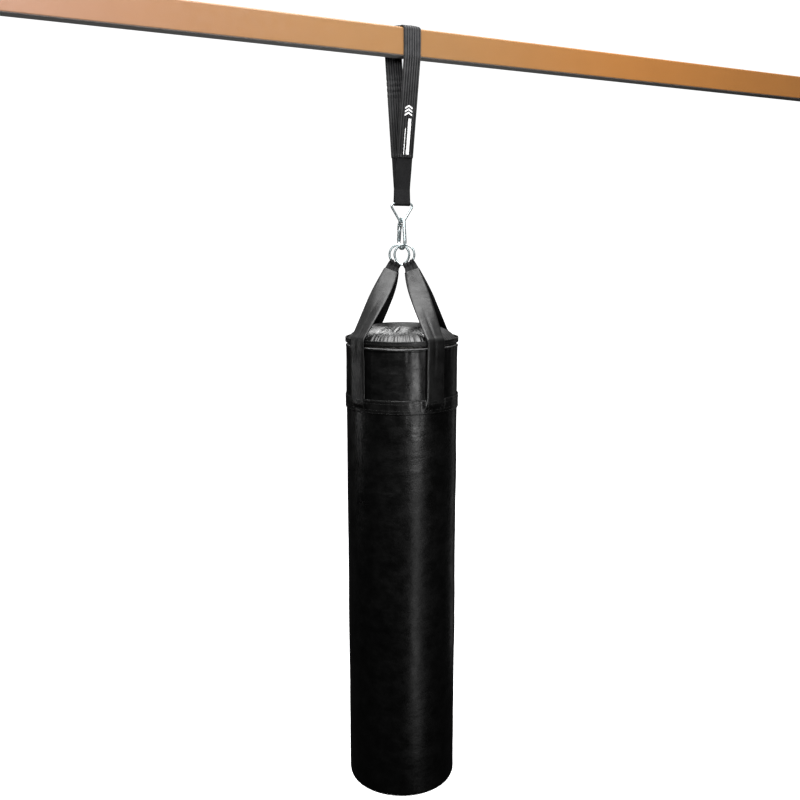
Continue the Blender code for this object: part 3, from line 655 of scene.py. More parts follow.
# %% Route of the strap
WEB_WIDTH = 0.045
WEB_THICKNESS = 0.003
SLEEVE_WIDTH = 0.0484
SLEEVE_THICKNESS = 0.0058
CLEARANCE = 0.0003
FRONT_SHIFT = 0.018
BACK_SHIFT = -0.013
SEWN_HEIGHT = 0.036
PINCH_HEIGHT = 0.016
PINCH_HALF = 0.0034
DELTA_WIRE = 0.006
BAR_Z = delta_high.z - DELTA_WIRE / 2
UNDER_Z = beam_low.z
LEG_OFFSET = SLEEVE_THICKNESS / 2 + CLEARANCE
FOLD_RADIUS = DELTA_WIRE / 2 + CLEARANCE + WEB_THICKNESS / 2


def leg_point(side, z):
    """A point on the front (-1) or back (+1) leg, between its sewn end and the beam."""
    shift = FRONT_SHIFT if side < 0 else BACK_SHIFT
    sewn_z = BAR_Z + SEWN_HEIGHT
    share = (z - sewn_z) / (UNDER_Z - sewn_z)
    together = WEB_THICKNESS / 2 + 2 * CLEARANCE
    half = together + (beam_high.y + LEG_OFFSET - together) * share
    return Vector((shift * share, side * half, z))


def saddle(steps=8):
    """The strap's line over the beam, from the front foot to the back foot."""
    side = beam_high.y + LEG_OFFSET
    bend = 0.004 + LEG_OFFSET
    top = beam_high.z + LEG_OFFSET
    points = []
    for turn in (0, 1):
        for k in range(steps + 1):
            angle = math.pi * (1 - turn / 2) - math.pi / 2 * k / steps
            y = (2 * turn - 1) * (side - bend) + bend * math.cos(angle)
            share = 0.5 + 0.5 * y / side
            x = FRONT_SHIFT + (BACK_SHIFT - FRONT_SHIFT) * share
            points.append(Vector((x, y, top - bend + bend * math.sin(angle))))
    return points


def strap_line(low_front, low_back):
    """The whole strap, from a height on its front leg, over the beam, to a height on its back leg."""
    spacing = 0.01
    front = [leg_point(-1, z) for z in spread(low_front, UNDER_Z, spacing)]
    back = [leg_point(1, z) for z in spread(UNDER_Z, low_back, spacing)]
    return front + saddle() + back


def spread(start, end, spacing):
    count = max(1, round(abs(end - start) / spacing))
    return [start + (end - start) * i / count for i in range(count + 1)]


def level_route(path):
    """A route whose width stays along the beam, also where the strap runs to one side."""
    flat = make_route([Vector((0, p.y, p.z)) for p in path], lambda share, point: X_AXIS)
    return [(d, p, X_AXIS, out) for (d, _, _, out), p in zip(flat, path)]


sleeve_route = level_route(strap_line(sleeve_low.z, sleeve_low.z))
SLEEVE_LENGTH = sleeve_route[-1][0]
print("sleeve length", round(SLEEVE_LENGTH, 3), "m")

# %% [markdown]
# ### The sleeve
#
# The sleeve is a tube pressed flat round the webbing. It is made a little long, so it bunches up
# in a few folds at the back, and its front is smooth and taut. Both ends are hemmed, and the front
# one shows its stitches.

# %% The sleeve
GATHER_TOP = 0.040  # below the beam's underside
GATHER_FOOT = 0.106
SLEEVE_GATHERS = 4.5
HEM_LENGTH = 0.008
LEG_LENGTH = UNDER_Z - sleeve_low.z


def sleeve_shape(share, face_side, distance):
    """Half the width and half the thickness of the sleeve at a distance from its front end."""
    half = SLEEVE_WIDTH / 2
    thick = SLEEVE_THICKNESS / 2
    below = distance - (SLEEVE_LENGTH - LEG_LENGTH)
    if GATHER_TOP < below < GATHER_FOOT:
        done = (below - GATHER_TOP) / (GATHER_FOOT - GATHER_TOP)
        slant = 0.18 * share
        fold = abs(math.sin(math.pi * (done * SLEEVE_GATHERS + slant)))
        fade = math.sin(math.pi * done) ** 0.5
        thick += 0.0026 * fade * fold * (1 - 0.5 * share**2)
        half -= 0.0008 * fade * (1 - fold)
    ripple = noise.noise(Vector((share * 1.5 + 3 * face_side, distance * 16.0, 0.0)))
    thick += 0.00045 * ripple
    for end in (0.0, SLEEVE_LENGTH):
        near = abs(distance - end) / HEM_LENGTH
        if near < 1:
            thick += 0.0006
    return half, thick


sleeve = add_piece(
    "sleeve_webbing",
    flat_tube(0.0, SLEEVE_LENGTH, 40, 300, sleeve_shape),
    sleeve_webbing,
    None,
)


def lay_piece(piece, route):
    """Lays a finished flat piece along its route."""
    shape = bmesh.new()
    shape.from_mesh(piece.data)
    lay(shape, route)
    bmesh.ops.recalc_face_normals(shape, faces=shape.faces[:])
    shape.to_mesh(piece.data)
    shape.free()


lay_piece(sleeve, sleeve_route)
thicken(sleeve, 0.0011)
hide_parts("sleeve_front", "sleeve_back", "sleeve_over_beam", "strap_over_beam")
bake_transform(sleeve)


# %% Hem stitches of the sleeve
def across_stitches(distances, half_width, pitch, length, thickness, rise):
    """Stitches that run across the strap, in one row for each distance."""
    shape = bmesh.new()
    count = int(2 * half_width / pitch)
    for distance in distances:
        for i in range(count):
            shift = -half_width + pitch * (i + 0.5)
            bmesh.ops.create_uvsphere(
                shape,
                u_segments=6,
                v_segments=4,
                radius=0.5,
                matrix=Matrix.Translation((shift, distance, rise))
                @ Matrix.Diagonal((length, thickness, thickness, 1)),
            )
    return shape


grey_thread = new_finish("grey thread", (0.12, 0.12, 0.125), 0.5)[0]
sleeve_face = SLEEVE_THICKNESS / 2 + 0.0004
front_hem = across_stitches(
    [0.003, 0.0065], half_width=0.021, pitch=0.0034, length=0.0026, thickness=0.0007, rise=sleeve_face
)
lay(front_hem, sleeve_route)
add_piece("sleeve_hem_stitches", front_hem, grey_thread, "hanger")

# %% [markdown]
# ### The print
#
# Plain marks are printed on the front of the sleeve: three chevrons, a bar and a thin line. They are
# cut from a flat grid, sheared into shape, and laid on the sleeve a hair above its face.

# %% The print
PRINT_RISE = SLEEVE_THICKNESS / 2 + 0.00045


def printed_bar(shape, low, high, columns, rows):
    """A flat rectangle between two corners, given as (across, along)."""
    size = (high[0] - low[0], high[1] - low[1], 1)
    centre = ((low[0] + high[0]) / 2, (low[1] + high[1]) / 2, PRINT_RISE)
    made = bmesh.ops.create_grid(shape, x_segments=columns, y_segments=rows, size=0.5)["verts"]
    bmesh.ops.scale(shape, verts=made, vec=size)
    bmesh.ops.translate(shape, verts=made, vec=centre)
    return made


CHEVRON_HALF = 0.0105  # half its width
CHEVRON_BAR = 0.0045
CHEVRON_POINT = 0.0065  # how far its middle runs ahead of its ends
marks = bmesh.new()
printed_bar(marks, (0.001, 0.008), (0.0095, 0.098), columns=3, rows=24)
printed_bar(marks, (-0.0065, 0.008), (-0.0045, 0.074), columns=1, rows=20)
for step in range(3):
    low = 0.104 + 0.0085 * step
    for side in (-1, 1):
        end = side * CHEVRON_HALF
        arm = printed_bar(
            marks, (min(0, end), low), (max(0, end), low + CHEVRON_BAR), columns=6, rows=3
        )
        for vertex in arm:
            vertex.co.y += CHEVRON_POINT * (1 - abs(vertex.co.x) / CHEVRON_HALF)
lay(marks, sleeve_route)
add_piece("strap_print", marks, ink, "hanger")

# %% [markdown]
# ### The webbing
#
# Below the sleeve the webbing shows. The two legs come together, are sewn through with a box of
# stitches, and make a fold round the bar of the delta ring.

# %% The webbing
TUCK = 0.020  # how far the webbing reaches up inside the sleeve's ends


def hanger_line():
    """Down the front leg, round the bar and up the back leg."""
    top = sleeve_low.z + TUCK
    sewn = BAR_Z + SEWN_HEIGHT
    front = [leg_point(-1, z) for z in spread(top, sewn, 0.01)]
    back = [leg_point(1, z) for z in spread(sewn, top, 0.01)]
    pinch = [Vector((0, side * PINCH_HALF, BAR_Z + PINCH_HEIGHT)) for side in (-1, 1)]
    fold = []
    for k in range(17):
        angle = math.pi + math.pi * k / 16
        fold.append(Vector((0, FOLD_RADIUS * math.cos(angle), BAR_Z + FOLD_RADIUS * math.sin(angle))))
    turn_in = smooth_path([front[-1], pinch[0], fold[0]], (6, 6))[:-1]
    turn_out = smooth_path([fold[-1], pinch[1], back[0]], (6, 6))[1:]
    return front[:-1] + turn_in + fold + turn_out + back[1:]


hanger_path = hanger_line()
hanger_route = level_route(hanger_path)
HANGER_LENGTH = hanger_route[-1][0]


def webbing_rise(share, distance):
    """Webbing is thicker in the middle than at its selvedges, and never quite flat."""
    edge = 0.0003 * share**4
    ripple = 0.0003 * noise.noise(Vector((share * 2, distance * 30, 7.0)))
    return share * WEB_WIDTH / 2, WEB_THICKNESS / 2 - edge + ripple


hanger = add_piece(
    "hanger_webbing",
    flat_strip(0.0, HANGER_LENGTH, 16, 260, webbing_rise),
    black_webbing,
    None,
)
lay_piece(hanger, hanger_route)
thicken(hanger, WEB_THICKNESS)
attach(hanger, "hanger")
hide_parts("hanger_strap")

# %% Box of stitches
bar_distance = HANGER_LENGTH / 2
box_foot = bar_distance - 0.0145
box_head = bar_distance - 0.0345
BOX_HALF_WIDTH = 0.0195
box_stitch = {"pitch": 0.0034, "length": 0.0027, "thickness": 0.0008, "rise": 0.0019}
box = across_stitches([box_foot, box_foot - 0.002, box_head], BOX_HALF_WIDTH, **box_stitch)
sides = flat_stitches([-BOX_HALF_WIDTH, BOX_HALF_WIDTH], box_head, box_foot, **box_stitch)
sides_mesh = bpy.data.meshes.new("box_sides")
sides.to_mesh(sides_mesh)
box.from_mesh(sides_mesh)
bpy.data.meshes.remove(sides_mesh)
lay(box, hanger_route)
add_piece("box_stitches", box, grey_thread, "hanger")

# %% [markdown]
# ## Steel
#
# The delta ring, the two round rings and the snap hook are bent from round bar. Each is made the
# way it is bent: a circle is pushed straight, or spun round the centre of a bend, again and again.


# %% Bend a bar
def bent_bar(shape, centre, normal, radius, moves, sides=20, closed=True):
    """A round bar from a first circle and a list of moves.

    A move is ("run", vector) or ("bend", centre, axis, angle).
    """
    turn = normal.to_track_quat("Z", "Y").to_matrix().to_4x4()
    first = bmesh.ops.create_circle(
        shape, segments=sides, radius=radius, matrix=Matrix.Translation(centre) @ turn
    )["verts"]
    edges = list({edge for vertex in first for edge in vertex.link_edges})
    for move in moves:
        if move[0] == "run":
            made = bmesh.ops.extrude_edge_only(shape, edges=edges)["geom"]
            bmesh.ops.translate(
                shape, verts=[g for g in made if isinstance(g, bmesh.types.BMVert)], vec=move[1]
            )
        else:
            _, pivot, axis, angle = move
            steps = max(2, round(abs(math.degrees(angle)) / 7.5))
            made = bmesh.ops.spin(
                shape, geom=edges, cent=pivot, axis=axis, angle=angle, steps=steps, use_merge=False
            )["geom_last"]
        edges = [g for g in made if isinstance(g, bmesh.types.BMEdge)]
        edges = [e for e in edges if len(e.link_faces) < 2]
    if closed:
        bmesh.ops.remove_doubles(shape, verts=shape.verts[:], dist=2e-5)
    return edges


def belt_moves(circles):
    """Moves round circles given as (x, y, radius) anticlockwise: where to start, and the bends and runs."""
    spans = []
    for i, (x, y, radius) in enumerate(circles):
        next_x, next_y, next_radius = circles[(i + 1) % len(circles)]
        distance = math.hypot(next_x - x, next_y - y)
        heading = math.atan2(next_y - y, next_x - x)
        spans.append(heading - math.pi / 2 + math.asin((radius - next_radius) / distance))
    corners = []
    for i, (x, y, radius) in enumerate(circles):
        start = spans[i - 1]
        corners.append((x, y, radius, start, (spans[i] - start) % (2 * math.pi)))
    return corners


def on_circle(corner, share):
    x, y, radius, start, sweep = corner
    angle = start + sweep * share
    return x + radius * math.cos(angle), y + radius * math.sin(angle)


# %% Delta ring
DELTA_WIDTH = delta_high.x - delta_low.x
DELTA_CORNER = 0.007
DELTA_FOOT = 0.010
wire_half = DELTA_WIRE / 2
corner_x = DELTA_WIDTH / 2 - wire_half - DELTA_CORNER
corners = belt_moves(
    [
        (corner_x, BAR_Z - DELTA_CORNER, DELTA_CORNER),
        (-corner_x, BAR_Z - DELTA_CORNER, DELTA_CORNER),
        (0, delta_low.z + wire_half + DELTA_FOOT, DELTA_FOOT),
    ]
)


def flat_point(pair):
    return Vector((pair[0], 0, pair[1]))


moves = []
for i, corner in enumerate(corners):
    after = corners[(i + 1) % len(corners)]
    moves.append(("bend", (corner[0], 0, corner[1]), -Y_AXIS, corner[4]))
    moves.append(("run", flat_point(on_circle(after, 0)) - flat_point(on_circle(corner, 1))))
start_point = flat_point(on_circle(corners[0], 0))
start_way = Vector((-math.sin(corners[0][3]), 0, math.cos(corners[0][3])))
delta_shape = bmesh.new()
bent_bar(delta_shape, start_point, start_way, wire_half, moves)
bmesh.ops.recalc_face_normals(delta_shape, faces=delta_shape.faces[:])
delta = add_piece("delta_ring_steel", delta_shape, zinc, "delta")
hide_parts("delta_ring")

# %% Round rings
RING_WIRE = 0.006
RING_RADIUS = 0.0265
WELD_LENGTH = 0.0045
WELD_BULGE = 0.10


def add_ring(name, node, side):
    """A round ring where its solid is, with a small welded joint on the side away from the strap."""
    low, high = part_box(node)
    centre = (low + high) / 2
    shape = bmesh.new()
    start = centre + UP * RING_RADIUS
    bent_bar(shape, start, RING_ALONG, RING_WIRE / 2, [("bend", centre, RING_NORMAL, 2 * math.pi)])
    weld = centre - RING_ALONG * side * RING_RADIUS
    for vertex in shape.verts:
        spoke = vertex.co - centre
        flat = spoke - RING_NORMAL * spoke.dot(RING_NORMAL)
        core = centre + flat.normalized() * RING_RADIUS
        bulge = WELD_BULGE * math.exp(-(((core - weld).length / WELD_LENGTH) ** 2) * 4)
        vertex.co = core + (vertex.co - core) * (1 + bulge)
    bmesh.ops.recalc_face_normals(shape, faces=shape.faces[:])
    ring = add_piece(name, shape, zinc, "bag")
    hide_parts(node)
    return centre


ring_centres = {
    -1: add_ring("ring_left_steel", "ring_left", -1),
    1: add_ring("ring_right_steel", "ring_right", 1),
}

# %% [markdown]
# ### Snap hook
#
# The hook is one bar with a wide bow at its foot, for the rings, and a narrow bow at its head. The
# long side is left open. A gate closes it: it turns on a riveted pin in the flattened end of the
# bar, and a small spring pushes it shut against the nose.

# %% Hook body
BAR_START = 0.0065  # the round bar begins this far above the pin
TIP_GAP = 0.0012  # room between the gate's tip and the nose
HOOK_WIRE = 0.009
HOOK_WIDTH = 0.046
HOOK_TOP_WIDTH = 0.034
GATE_WIRE = 0.0095
GATE_LENGTH = 0.040
PIN_ABOVE_MIDDLE = 0.021
hook_half = HOOK_WIRE / 2
foot_bow = HOOK_WIDTH / 2 - hook_half
head_bow = HOOK_TOP_WIDTH / 2 - hook_half
foot_z = hook_low.z + hook_half + foot_bow
head_z = hook_high.z - hook_half - head_bow
LEAN = math.asin((foot_bow - head_bow) / (head_z - foot_z))
low_corner = Vector((0, foot_bow * math.cos(LEAN), foot_z + foot_bow * math.sin(LEAN)))
high_corner = Vector((0, head_bow * math.cos(LEAN), head_z + head_bow * math.sin(LEAN)))
gate_way = (high_corner - low_corner).normalized()
middle_z = (hook_low.z + hook_high.z) / 2
pin_place = low_corner + gate_way * ((middle_z + PIN_ABOVE_MIDDLE - low_corner.z) / gate_way.z)
nose_place = pin_place - gate_way * (GATE_LENGTH + TIP_GAP)

hook_shape = bmesh.new()
shank = pin_place + gate_way * BAR_START
bent_bar(
    hook_shape,
    shank,
    gate_way,
    hook_half,
    [
        ("run", high_corner - shank),
        ("bend", (0, 0, head_z), X_AXIS, math.pi - 2 * LEAN),
        ("run", Vector((0, -low_corner.y, low_corner.z)) - Vector((0, -high_corner.y, high_corner.z))),
        ("bend", (0, 0, foot_z), X_AXIS, math.pi + 2 * LEAN),
        ("run", nose_place - low_corner),
    ],
    sides=24,
    closed=False,
)
bmesh.ops.holes_fill(hook_shape, edges=[e for e in hook_shape.edges if len(e.link_faces) == 1], sides=0)
end_rims = [e for e in hook_shape.edges if any(len(f.verts) > 4 for f in e.link_faces)]
bmesh.ops.bevel(
    hook_shape, geom=end_rims, offset=0.0014, segments=3, profile=0.5, affect="EDGES", material=-1
)
bmesh.ops.recalc_face_normals(hook_shape, faces=hook_shape.faces[:])
hook = add_piece("snap_hook_steel", hook_shape, zinc, "hook")
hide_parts("hook_body")

# %% Tongue, gate, pin
TONGUE = 0.0032
TONGUE_DEPTH = 0.0065
TONGUE_LENGTH = 0.0118
TONGUE_ABOVE_PIN = 0.0022
PIN_RADIUS = 0.0015
PIN_HEAD_RADIUS = 0.0024
PIN_PROUD = 0.001  # both ends together
GATE_SLOT = 0.0066
GATE_REACH = 0.0052
GATE_DEPTH = 0.0086


def tilted_block(shape, centre, size, corner):
    """A block with rounded edges, upright along the gate."""
    made = bmesh.ops.create_cube(shape, size=1.0)["verts"]
    bmesh.ops.scale(shape, verts=made, vec=size)
    edges = list({e for v in made for e in v.link_edges})
    made = bmesh.ops.bevel(
        shape, geom=edges, offset=corner, segments=4, profile=0.5, affect="EDGES", material=-1
    )["verts"]
    turn = Matrix.Rotation(math.atan2(-gate_way.y, gate_way.z), 3, "X")
    bmesh.ops.rotate(shape, verts=made, matrix=turn)
    bmesh.ops.translate(shape, verts=made, vec=centre)


tongue_x = -GATE_SLOT / 2 + CLEARANCE + TONGUE / 2
tongue_shape = bmesh.new()
tilted_block(
    tongue_shape,
    pin_place + gate_way * TONGUE_ABOVE_PIN + X_AXIS * tongue_x,
    (TONGUE, TONGUE_DEPTH, TONGUE_LENGTH),
    0.0006,
)
add_piece("hook_tongue", tongue_shape, zinc, "hook")

gate_top = pin_place + gate_way * GATE_REACH
gate_tip = pin_place - gate_way * GATE_LENGTH
cheek = (GATE_WIRE - GATE_SLOT) / 2
gate_shape = bmesh.new()
slot_foot = gate_top - gate_way * 0.0170
for side in (-1, 1):
    tilted_block(
        gate_shape,
        (gate_top + slot_foot) / 2 + X_AXIS * side * (GATE_SLOT / 2 + cheek / 2),
        (cheek, GATE_DEPTH, 0.0180),
        0.0005,
    )
tilted_block(
    gate_shape, (slot_foot + gate_tip) / 2, (GATE_WIRE, GATE_DEPTH, (slot_foot - gate_tip).length), 0.0024
)
gate = add_piece("hook_gate_steel", gate_shape, zinc, "gate")
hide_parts("hook_gate")

pin_shape = bmesh.new()
bmesh.ops.create_cone(
    pin_shape,
    cap_ends=True,
    segments=24,
    radius1=PIN_RADIUS,
    radius2=PIN_RADIUS,
    depth=GATE_WIRE + PIN_PROUD,
    matrix=Matrix.Translation(pin_place) @ Matrix.Rotation(math.pi / 2, 4, "Y"),
)
flattened = Matrix.Diagonal((0.45, 1, 1, 1))
for side in (-1, 1):
    head_place = pin_place + X_AXIS * side * GATE_WIRE / 2
    bmesh.ops.create_uvsphere(
        pin_shape,
        u_segments=24,
        v_segments=12,
        radius=PIN_HEAD_RADIUS,
        matrix=Matrix.Translation(head_place) @ flattened,
    )
pin = add_piece("gate_rivet", pin_shape, zinc, "hook")
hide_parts("gate_pin")
spring_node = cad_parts["gate_spring"]
spring_node.data.materials.clear()
spring_node.data.materials.append(zinc)

# %% [markdown]
# ## Bag straps
#
# Each side has one strap of webbing: up the front of the bag, through its ring and down the back.
# On the ring it is bunched to about half its width. Below the ring each leg goes into a vinyl
# cover, which is sewn along both edges and widens on its way to the rim.

# %% Route of a bag strap
SEAT_ANGLE = math.radians(25.0)
STRAP_ANGLE = math.radians(49.0)
TWIST_SHARE = 0.56
BAG_WEB_THICKNESS = 0.002
COVER_HALF = 0.0028
COVER_START = 0.022
COVER_WIDENS = 0.110
COVER_TOP_WIDTH = 0.038
COVER_WIDTH = 0.052
WEB_AT_RING = 0.028
FOLD_BEND = RING_WIRE / 2 + BAG_WEB_THICKNESS / 2 + 2 * CLEARANCE
SHELL_INNER = BAG_RADIUS - 0.002
HEM_THICKNESS = hem_high.x - SHELL_INNER
HEM_TO_COVER = 0.0008
HEM_TOP_Z = hem_high.z
LEG_STEPS = (6, 8, 12, 12, 10, 8, 4, 4, 12)


def rim_direction(side, face):
    """Where a strap crosses the rim. Side is -1 left, +1 right; face is -1 front, +1 back."""
    along = RING_ALONG * side * math.cos(STRAP_ANGLE)
    return along + RING_NORMAL * face * math.sin(STRAP_ANGLE)


def ring_seat(side):
    """Where a strap hangs on its ring: the wire's middle, the way down from it, the way along it."""
    down = RING_ALONG * side * math.sin(SEAT_ANGLE) - UP * math.cos(SEAT_ANGLE)
    along = RING_ALONG * math.cos(SEAT_ANGLE) + UP * side * math.sin(SEAT_ANGLE)
    return ring_centres[side] + down * RING_RADIUS, down, along


def leg_path(side, face, foot_z):
    """From beside the ring's wire, out over the rim, and down to a height on the bag."""
    out = rim_direction(side, face)
    seat, down, _ = ring_seat(side)
    start = seat + RING_NORMAL * face * FOLD_BEND
    against = BAG_RADIUS + 0.0007 + COVER_HALF
    rim = max(against, SHELL_INNER + HEM_THICKNESS + HEM_TO_COVER + COVER_HALF)
    shoulder = out * (rim - 0.014) + UP * (HEM_TOP_Z + 0.0195)
    halfway = start.lerp(shoulder, 0.5)
    points = [
        start,
        start + (out * 0.25 + down).normalized() * 0.012,
        start.lerp(halfway, 0.5) + down * 0.003,
        halfway,
        shoulder,
        out * (rim - 0.002) + UP * (HEM_TOP_Z + 0.0045),
        out * rim + UP * (HEM_TOP_Z - 0.008),
        out * rim + UP * (RIM_Z - 0.010),
        out * against + UP * (RIM_Z - 0.040),
        out * against + UP * foot_z,
    ]
    return smooth_path(points, LEG_STEPS)


def leg_route(side, face, foot_z):
    """The strap turns from the ring's direction to the rim's on its way out."""
    tangent = UP.cross(rim_direction(side, face))
    _, _, along_ring = ring_seat(side)
    if tangent.dot(RING_ALONG) < 0:
        tangent = -tangent

    def across_at(share, point):
        return along_ring.lerp(tangent, min(share / TWIST_SHARE, 1.0))

    route = make_route(leg_path(side, face, foot_z), across_at)
    outward = rim_direction(side, face)
    if route[-1][3].dot(outward) < 0:
        route = [(d, p, across, -out) for d, p, across, out in route]
    return route


def cover_width(distance):
    share = min(max((distance - COVER_START) / COVER_WIDENS, 0.0), 1.0)
    return COVER_TOP_WIDTH + (COVER_WIDTH - COVER_TOP_WIDTH) * share * (2 - share)


# %% Covers
COVER_WALL = 0.0012
SEAM_INSET = 0.004
STRAP_FOOT_Z = band_high.z - 0.012
PRESSED_HALF = 0.0018


def add_cover(side, face):
    """One vinyl cover with its two edge seams."""
    name = f"cover_{'left' if side < 0 else 'right'}_{'front' if face < 0 else 'back'}"
    route = leg_route(side, face, STRAP_FOOT_Z)
    length = route[-1][0]
    seed = Vector((side * 11.0, face * 7.0, 3.0))

    def cover_shape(share, face_side, distance):
        half = cover_width(distance) / 2
        flat_edge = min((1 - abs(share)) * half / SEAM_INSET, 1.0)
        body = COVER_HALF * (0.42 + 0.58 * flat_edge**0.5)
        left = length - distance
        if left < 0.05:
            body = PRESSED_HALF + (body - PRESSED_HALF) * (left / 0.05) ** 0.7
        crease = math.exp(-(((share + 0.15 * side) / 0.13) ** 2)) * bell(left, 0.175, 0.075)
        puff = noise.noise(Vector((share * 1.2, distance * 22.0, face_side * 2.0)) + seed)
        ripple = noise.noise(Vector((share * 0.6, distance * 90.0, face_side * 5.0)) + seed)
        near_seam = math.exp(-(((1 - abs(share)) * half - SEAM_INSET) / 0.004) ** 2)
        body += 0.0007 * puff + 0.0006 * near_seam * ripple - 0.0016 * crease * (face_side > 0)
        return half, max(body, 0.0008)

    piece = add_piece(
        name + "_vinyl",
        flat_tube(COVER_START, length, 48, 150, cover_shape),
        cover_vinyl,
        None,
    )
    lay_piece(piece, route)
    thicken(piece, COVER_WALL * 0.8)
    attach(piece, "bag")
    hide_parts(name)

    rows = [lambda d, s=s: s * (cover_width(d) / 2 - SEAM_INSET) for s in (-1, 1)]
    seam = flat_stitches(
        rows, COVER_START + 0.004, length - 0.03, 0.0042, 0.0033, 0.0007, COVER_HALF * 0.93
    )
    lay(seam, route)
    add_piece(name + "_stitches", seam, thread, "bag")
    return route


def bell(value, centre, width):
    return math.exp(-(((value - centre) / width) ** 2))


leg_routes = {(side, face): add_cover(side, face) for side in (-1, 1) for face in (-1, 1)}

# %% Webbing on the rings
BAND_REACH = 0.050


def add_band(side):
    """One loop of webbing, from inside its front cover, over the ring, to inside its back cover."""
    seat, down, along = ring_seat(side)
    front = [s for s in leg_routes[(side, -1)] if s[0] < BAND_REACH][::-1]
    back = [s for s in leg_routes[(side, 1)] if s[0] < BAND_REACH]
    path = [s[1] for s in front[:-1]]
    for k in range(17):
        angle = math.pi * k / 16
        out = -RING_NORMAL * math.cos(angle) - down * math.sin(angle)
        path.append(seat + out * FOLD_BEND)
    path += [s[1] for s in back[1:]]
    ways = [s[2] for s in front[:-1]] + [along] * 17 + [s[2] for s in back[1:]]
    lookup = {tuple(p): w for p, w in zip(path, ways)}
    route = make_route(path, lambda share, point: lookup[tuple(point)])
    middle = route[len(route) // 2]
    if middle[3].dot(-down) < 0:
        route = [(d, p, across, -out) for d, p, across, out in route]
    length = route[-1][0]
    edge_rise = 0.0045

    def bunched(share, distance):
        away = abs(distance - length / 2)
        gather = max(0.0, 1 - away / 0.045)
        full = 0.040
        half = (WEB_AT_RING + (full - WEB_AT_RING) * (1 - gather)) / 2
        folds = 0.0012 * gather * math.cos(share * math.pi * 3.2 + 0.6 * side)
        lift = edge_rise * share**2 * max(0.0, 1 - away / 0.016)
        return share * half, folds + lift + BAG_WEB_THICKNESS / 2

    name = "band_left" if side < 0 else "band_right"
    piece = add_piece(
        name + "_webbing", flat_strip(0.0, length, 40, 110, bunched), black_webbing, None
    )
    lay_piece(piece, route)
    thicken(piece, BAG_WEB_THICKNESS, even=False)
    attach(piece, "bag")
    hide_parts(name)


for side in (-1, 1):
    add_band(side)

# %% [markdown]
# ## The bag
#
# The bag is a packed tube, so its skin is tight but never perfectly round. The filling has set in
# layers, which shows as faint rings, and the seams pull small puckers. A turned skin with fine
# rows takes these as small moves of its points. Amounts stay under a couple of millimetres, as on
# a hard-packed bag.

# %% Uneven skin
BAG_SIDES = 240
SKIN = 0.002
BAND_MIDDLE_Z = (band_low.z + band_high.z) / 2
COLLAR_TOP_Z = RIM_Z - 0.0032
STRAP_ANGLES = [
    math.atan2(rim_direction(side, face).y, rim_direction(side, face).x)
    for side in (-1, 1)
    for face in (-1, 1)
]


def turn_between(first, second):
    """The smallest turn from one angle to another, in radians."""
    return (first - second + math.pi) % (2 * math.pi) - math.pi


def under_strap(angle, reach):
    """1 in the middle of a strap and 0 more than a reach away, in metres round the bag."""
    nearest = min(abs(turn_between(angle, strap)) for strap in STRAP_ANGLES) * BAG_RADIUS
    share = min(max((nearest - COVER_WIDTH / 2) / (reach - COVER_WIDTH / 2), 0.0), 1.0)
    return 1 - share * share * (3 - 2 * share)


def pack_lumps(angle, z):
    """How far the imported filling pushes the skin, in metres: settled rings, soft lumps, small creases."""
    place = Vector((math.cos(angle), math.sin(angle), 0)) * 1.6
    layers = noise.noise(place * 0.35 + Vector((0, 0, z * 11.0)))
    lumps = noise.noise(place + Vector((4.0, 0, z * 5.0)))
    creases = noise.noise(place * 0.9 + Vector((9.0, 2.0, z * 44.0)))
    return 0.0007 * layers + 0.0008 * lumps + 0.0003 * creases


def seam_pucker(angle, away, reach, seed):
    """Small upright folds that fade out with the distance from a seam."""
    fade = max(0.0, 1 - away / reach) ** 1.6
    place = Vector((math.cos(angle), math.sin(angle), 0)) * 14.0
    return fade * noise.noise(place + Vector((0, 0, seed)))


def shift_out(shape, amount_at):
    """Moves each point away from the axis by an amount for its angle and height."""
    for vertex in shape.verts:
        radius = math.hypot(vertex.co.x, vertex.co.y)
        if radius > 1e-6:
            amount = amount_at(math.atan2(vertex.co.y, vertex.co.x), vertex.co.z, radius)
            vertex.co.x += vertex.co.x / radius * amount
            vertex.co.y += vertex.co.y / radius * amount


def rows_between(low_z, high_z, radius, spacing):
    """Points up a straight wall."""
    count = max(2, round((high_z - low_z) / spacing))
    return [(radius, low_z + (high_z - low_z) * k / count) for k in range(count + 1)]


# %% Lower shell
SKIN_RADIUS = BAG_RADIUS - 0.0006  # room for the lumps that are added to it
HALF_SEAM = 0.0004  # half the gap between the shell and the collar, under the band
SHELL_ROW = 0.0062
CORNER = 0.009
bend = [
    (
        SKIN_RADIUS - CORNER + CORNER * math.cos(-math.pi / 2 + math.pi / 2 * k / 8),
        BOTTOM_RISE + CORNER + CORNER * math.sin(-math.pi / 2 + math.pi / 2 * k / 8),
    )
    for k in range(8)
]
wall = rows_between(BOTTOM_RISE + CORNER, BAND_MIDDLE_Z - HALF_SEAM, SKIN_RADIUS, SHELL_ROW)
shell_shape = turned(bend + wall, BAG_SIDES)


def shell_move(angle, z, radius):
    tight = min(1.0, (BAND_MIDDLE_Z - z) / 0.05)
    pull = 0.0011 * seam_pucker(angle, z - BOTTOM_RISE, 0.05, 3.0)
    pull += 0.0007 * seam_pucker(angle, BAND_MIDDLE_Z - z, 0.09, 8.0)
    seam = 0.0008 * math.exp(-((turn_between(angle, math.pi / 2) * BAG_RADIUS / 0.005) ** 2))
    return min(pack_lumps(angle, z) * tight + pull + seam, 0.0025)


shift_out(shell_shape, shell_move)
shell = add_piece("lower_shell_vinyl", shell_shape, bag_vinyl, None, 50.0)
thicken(shell, SKIN)
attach(shell, "bag")
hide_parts("lower_shell")

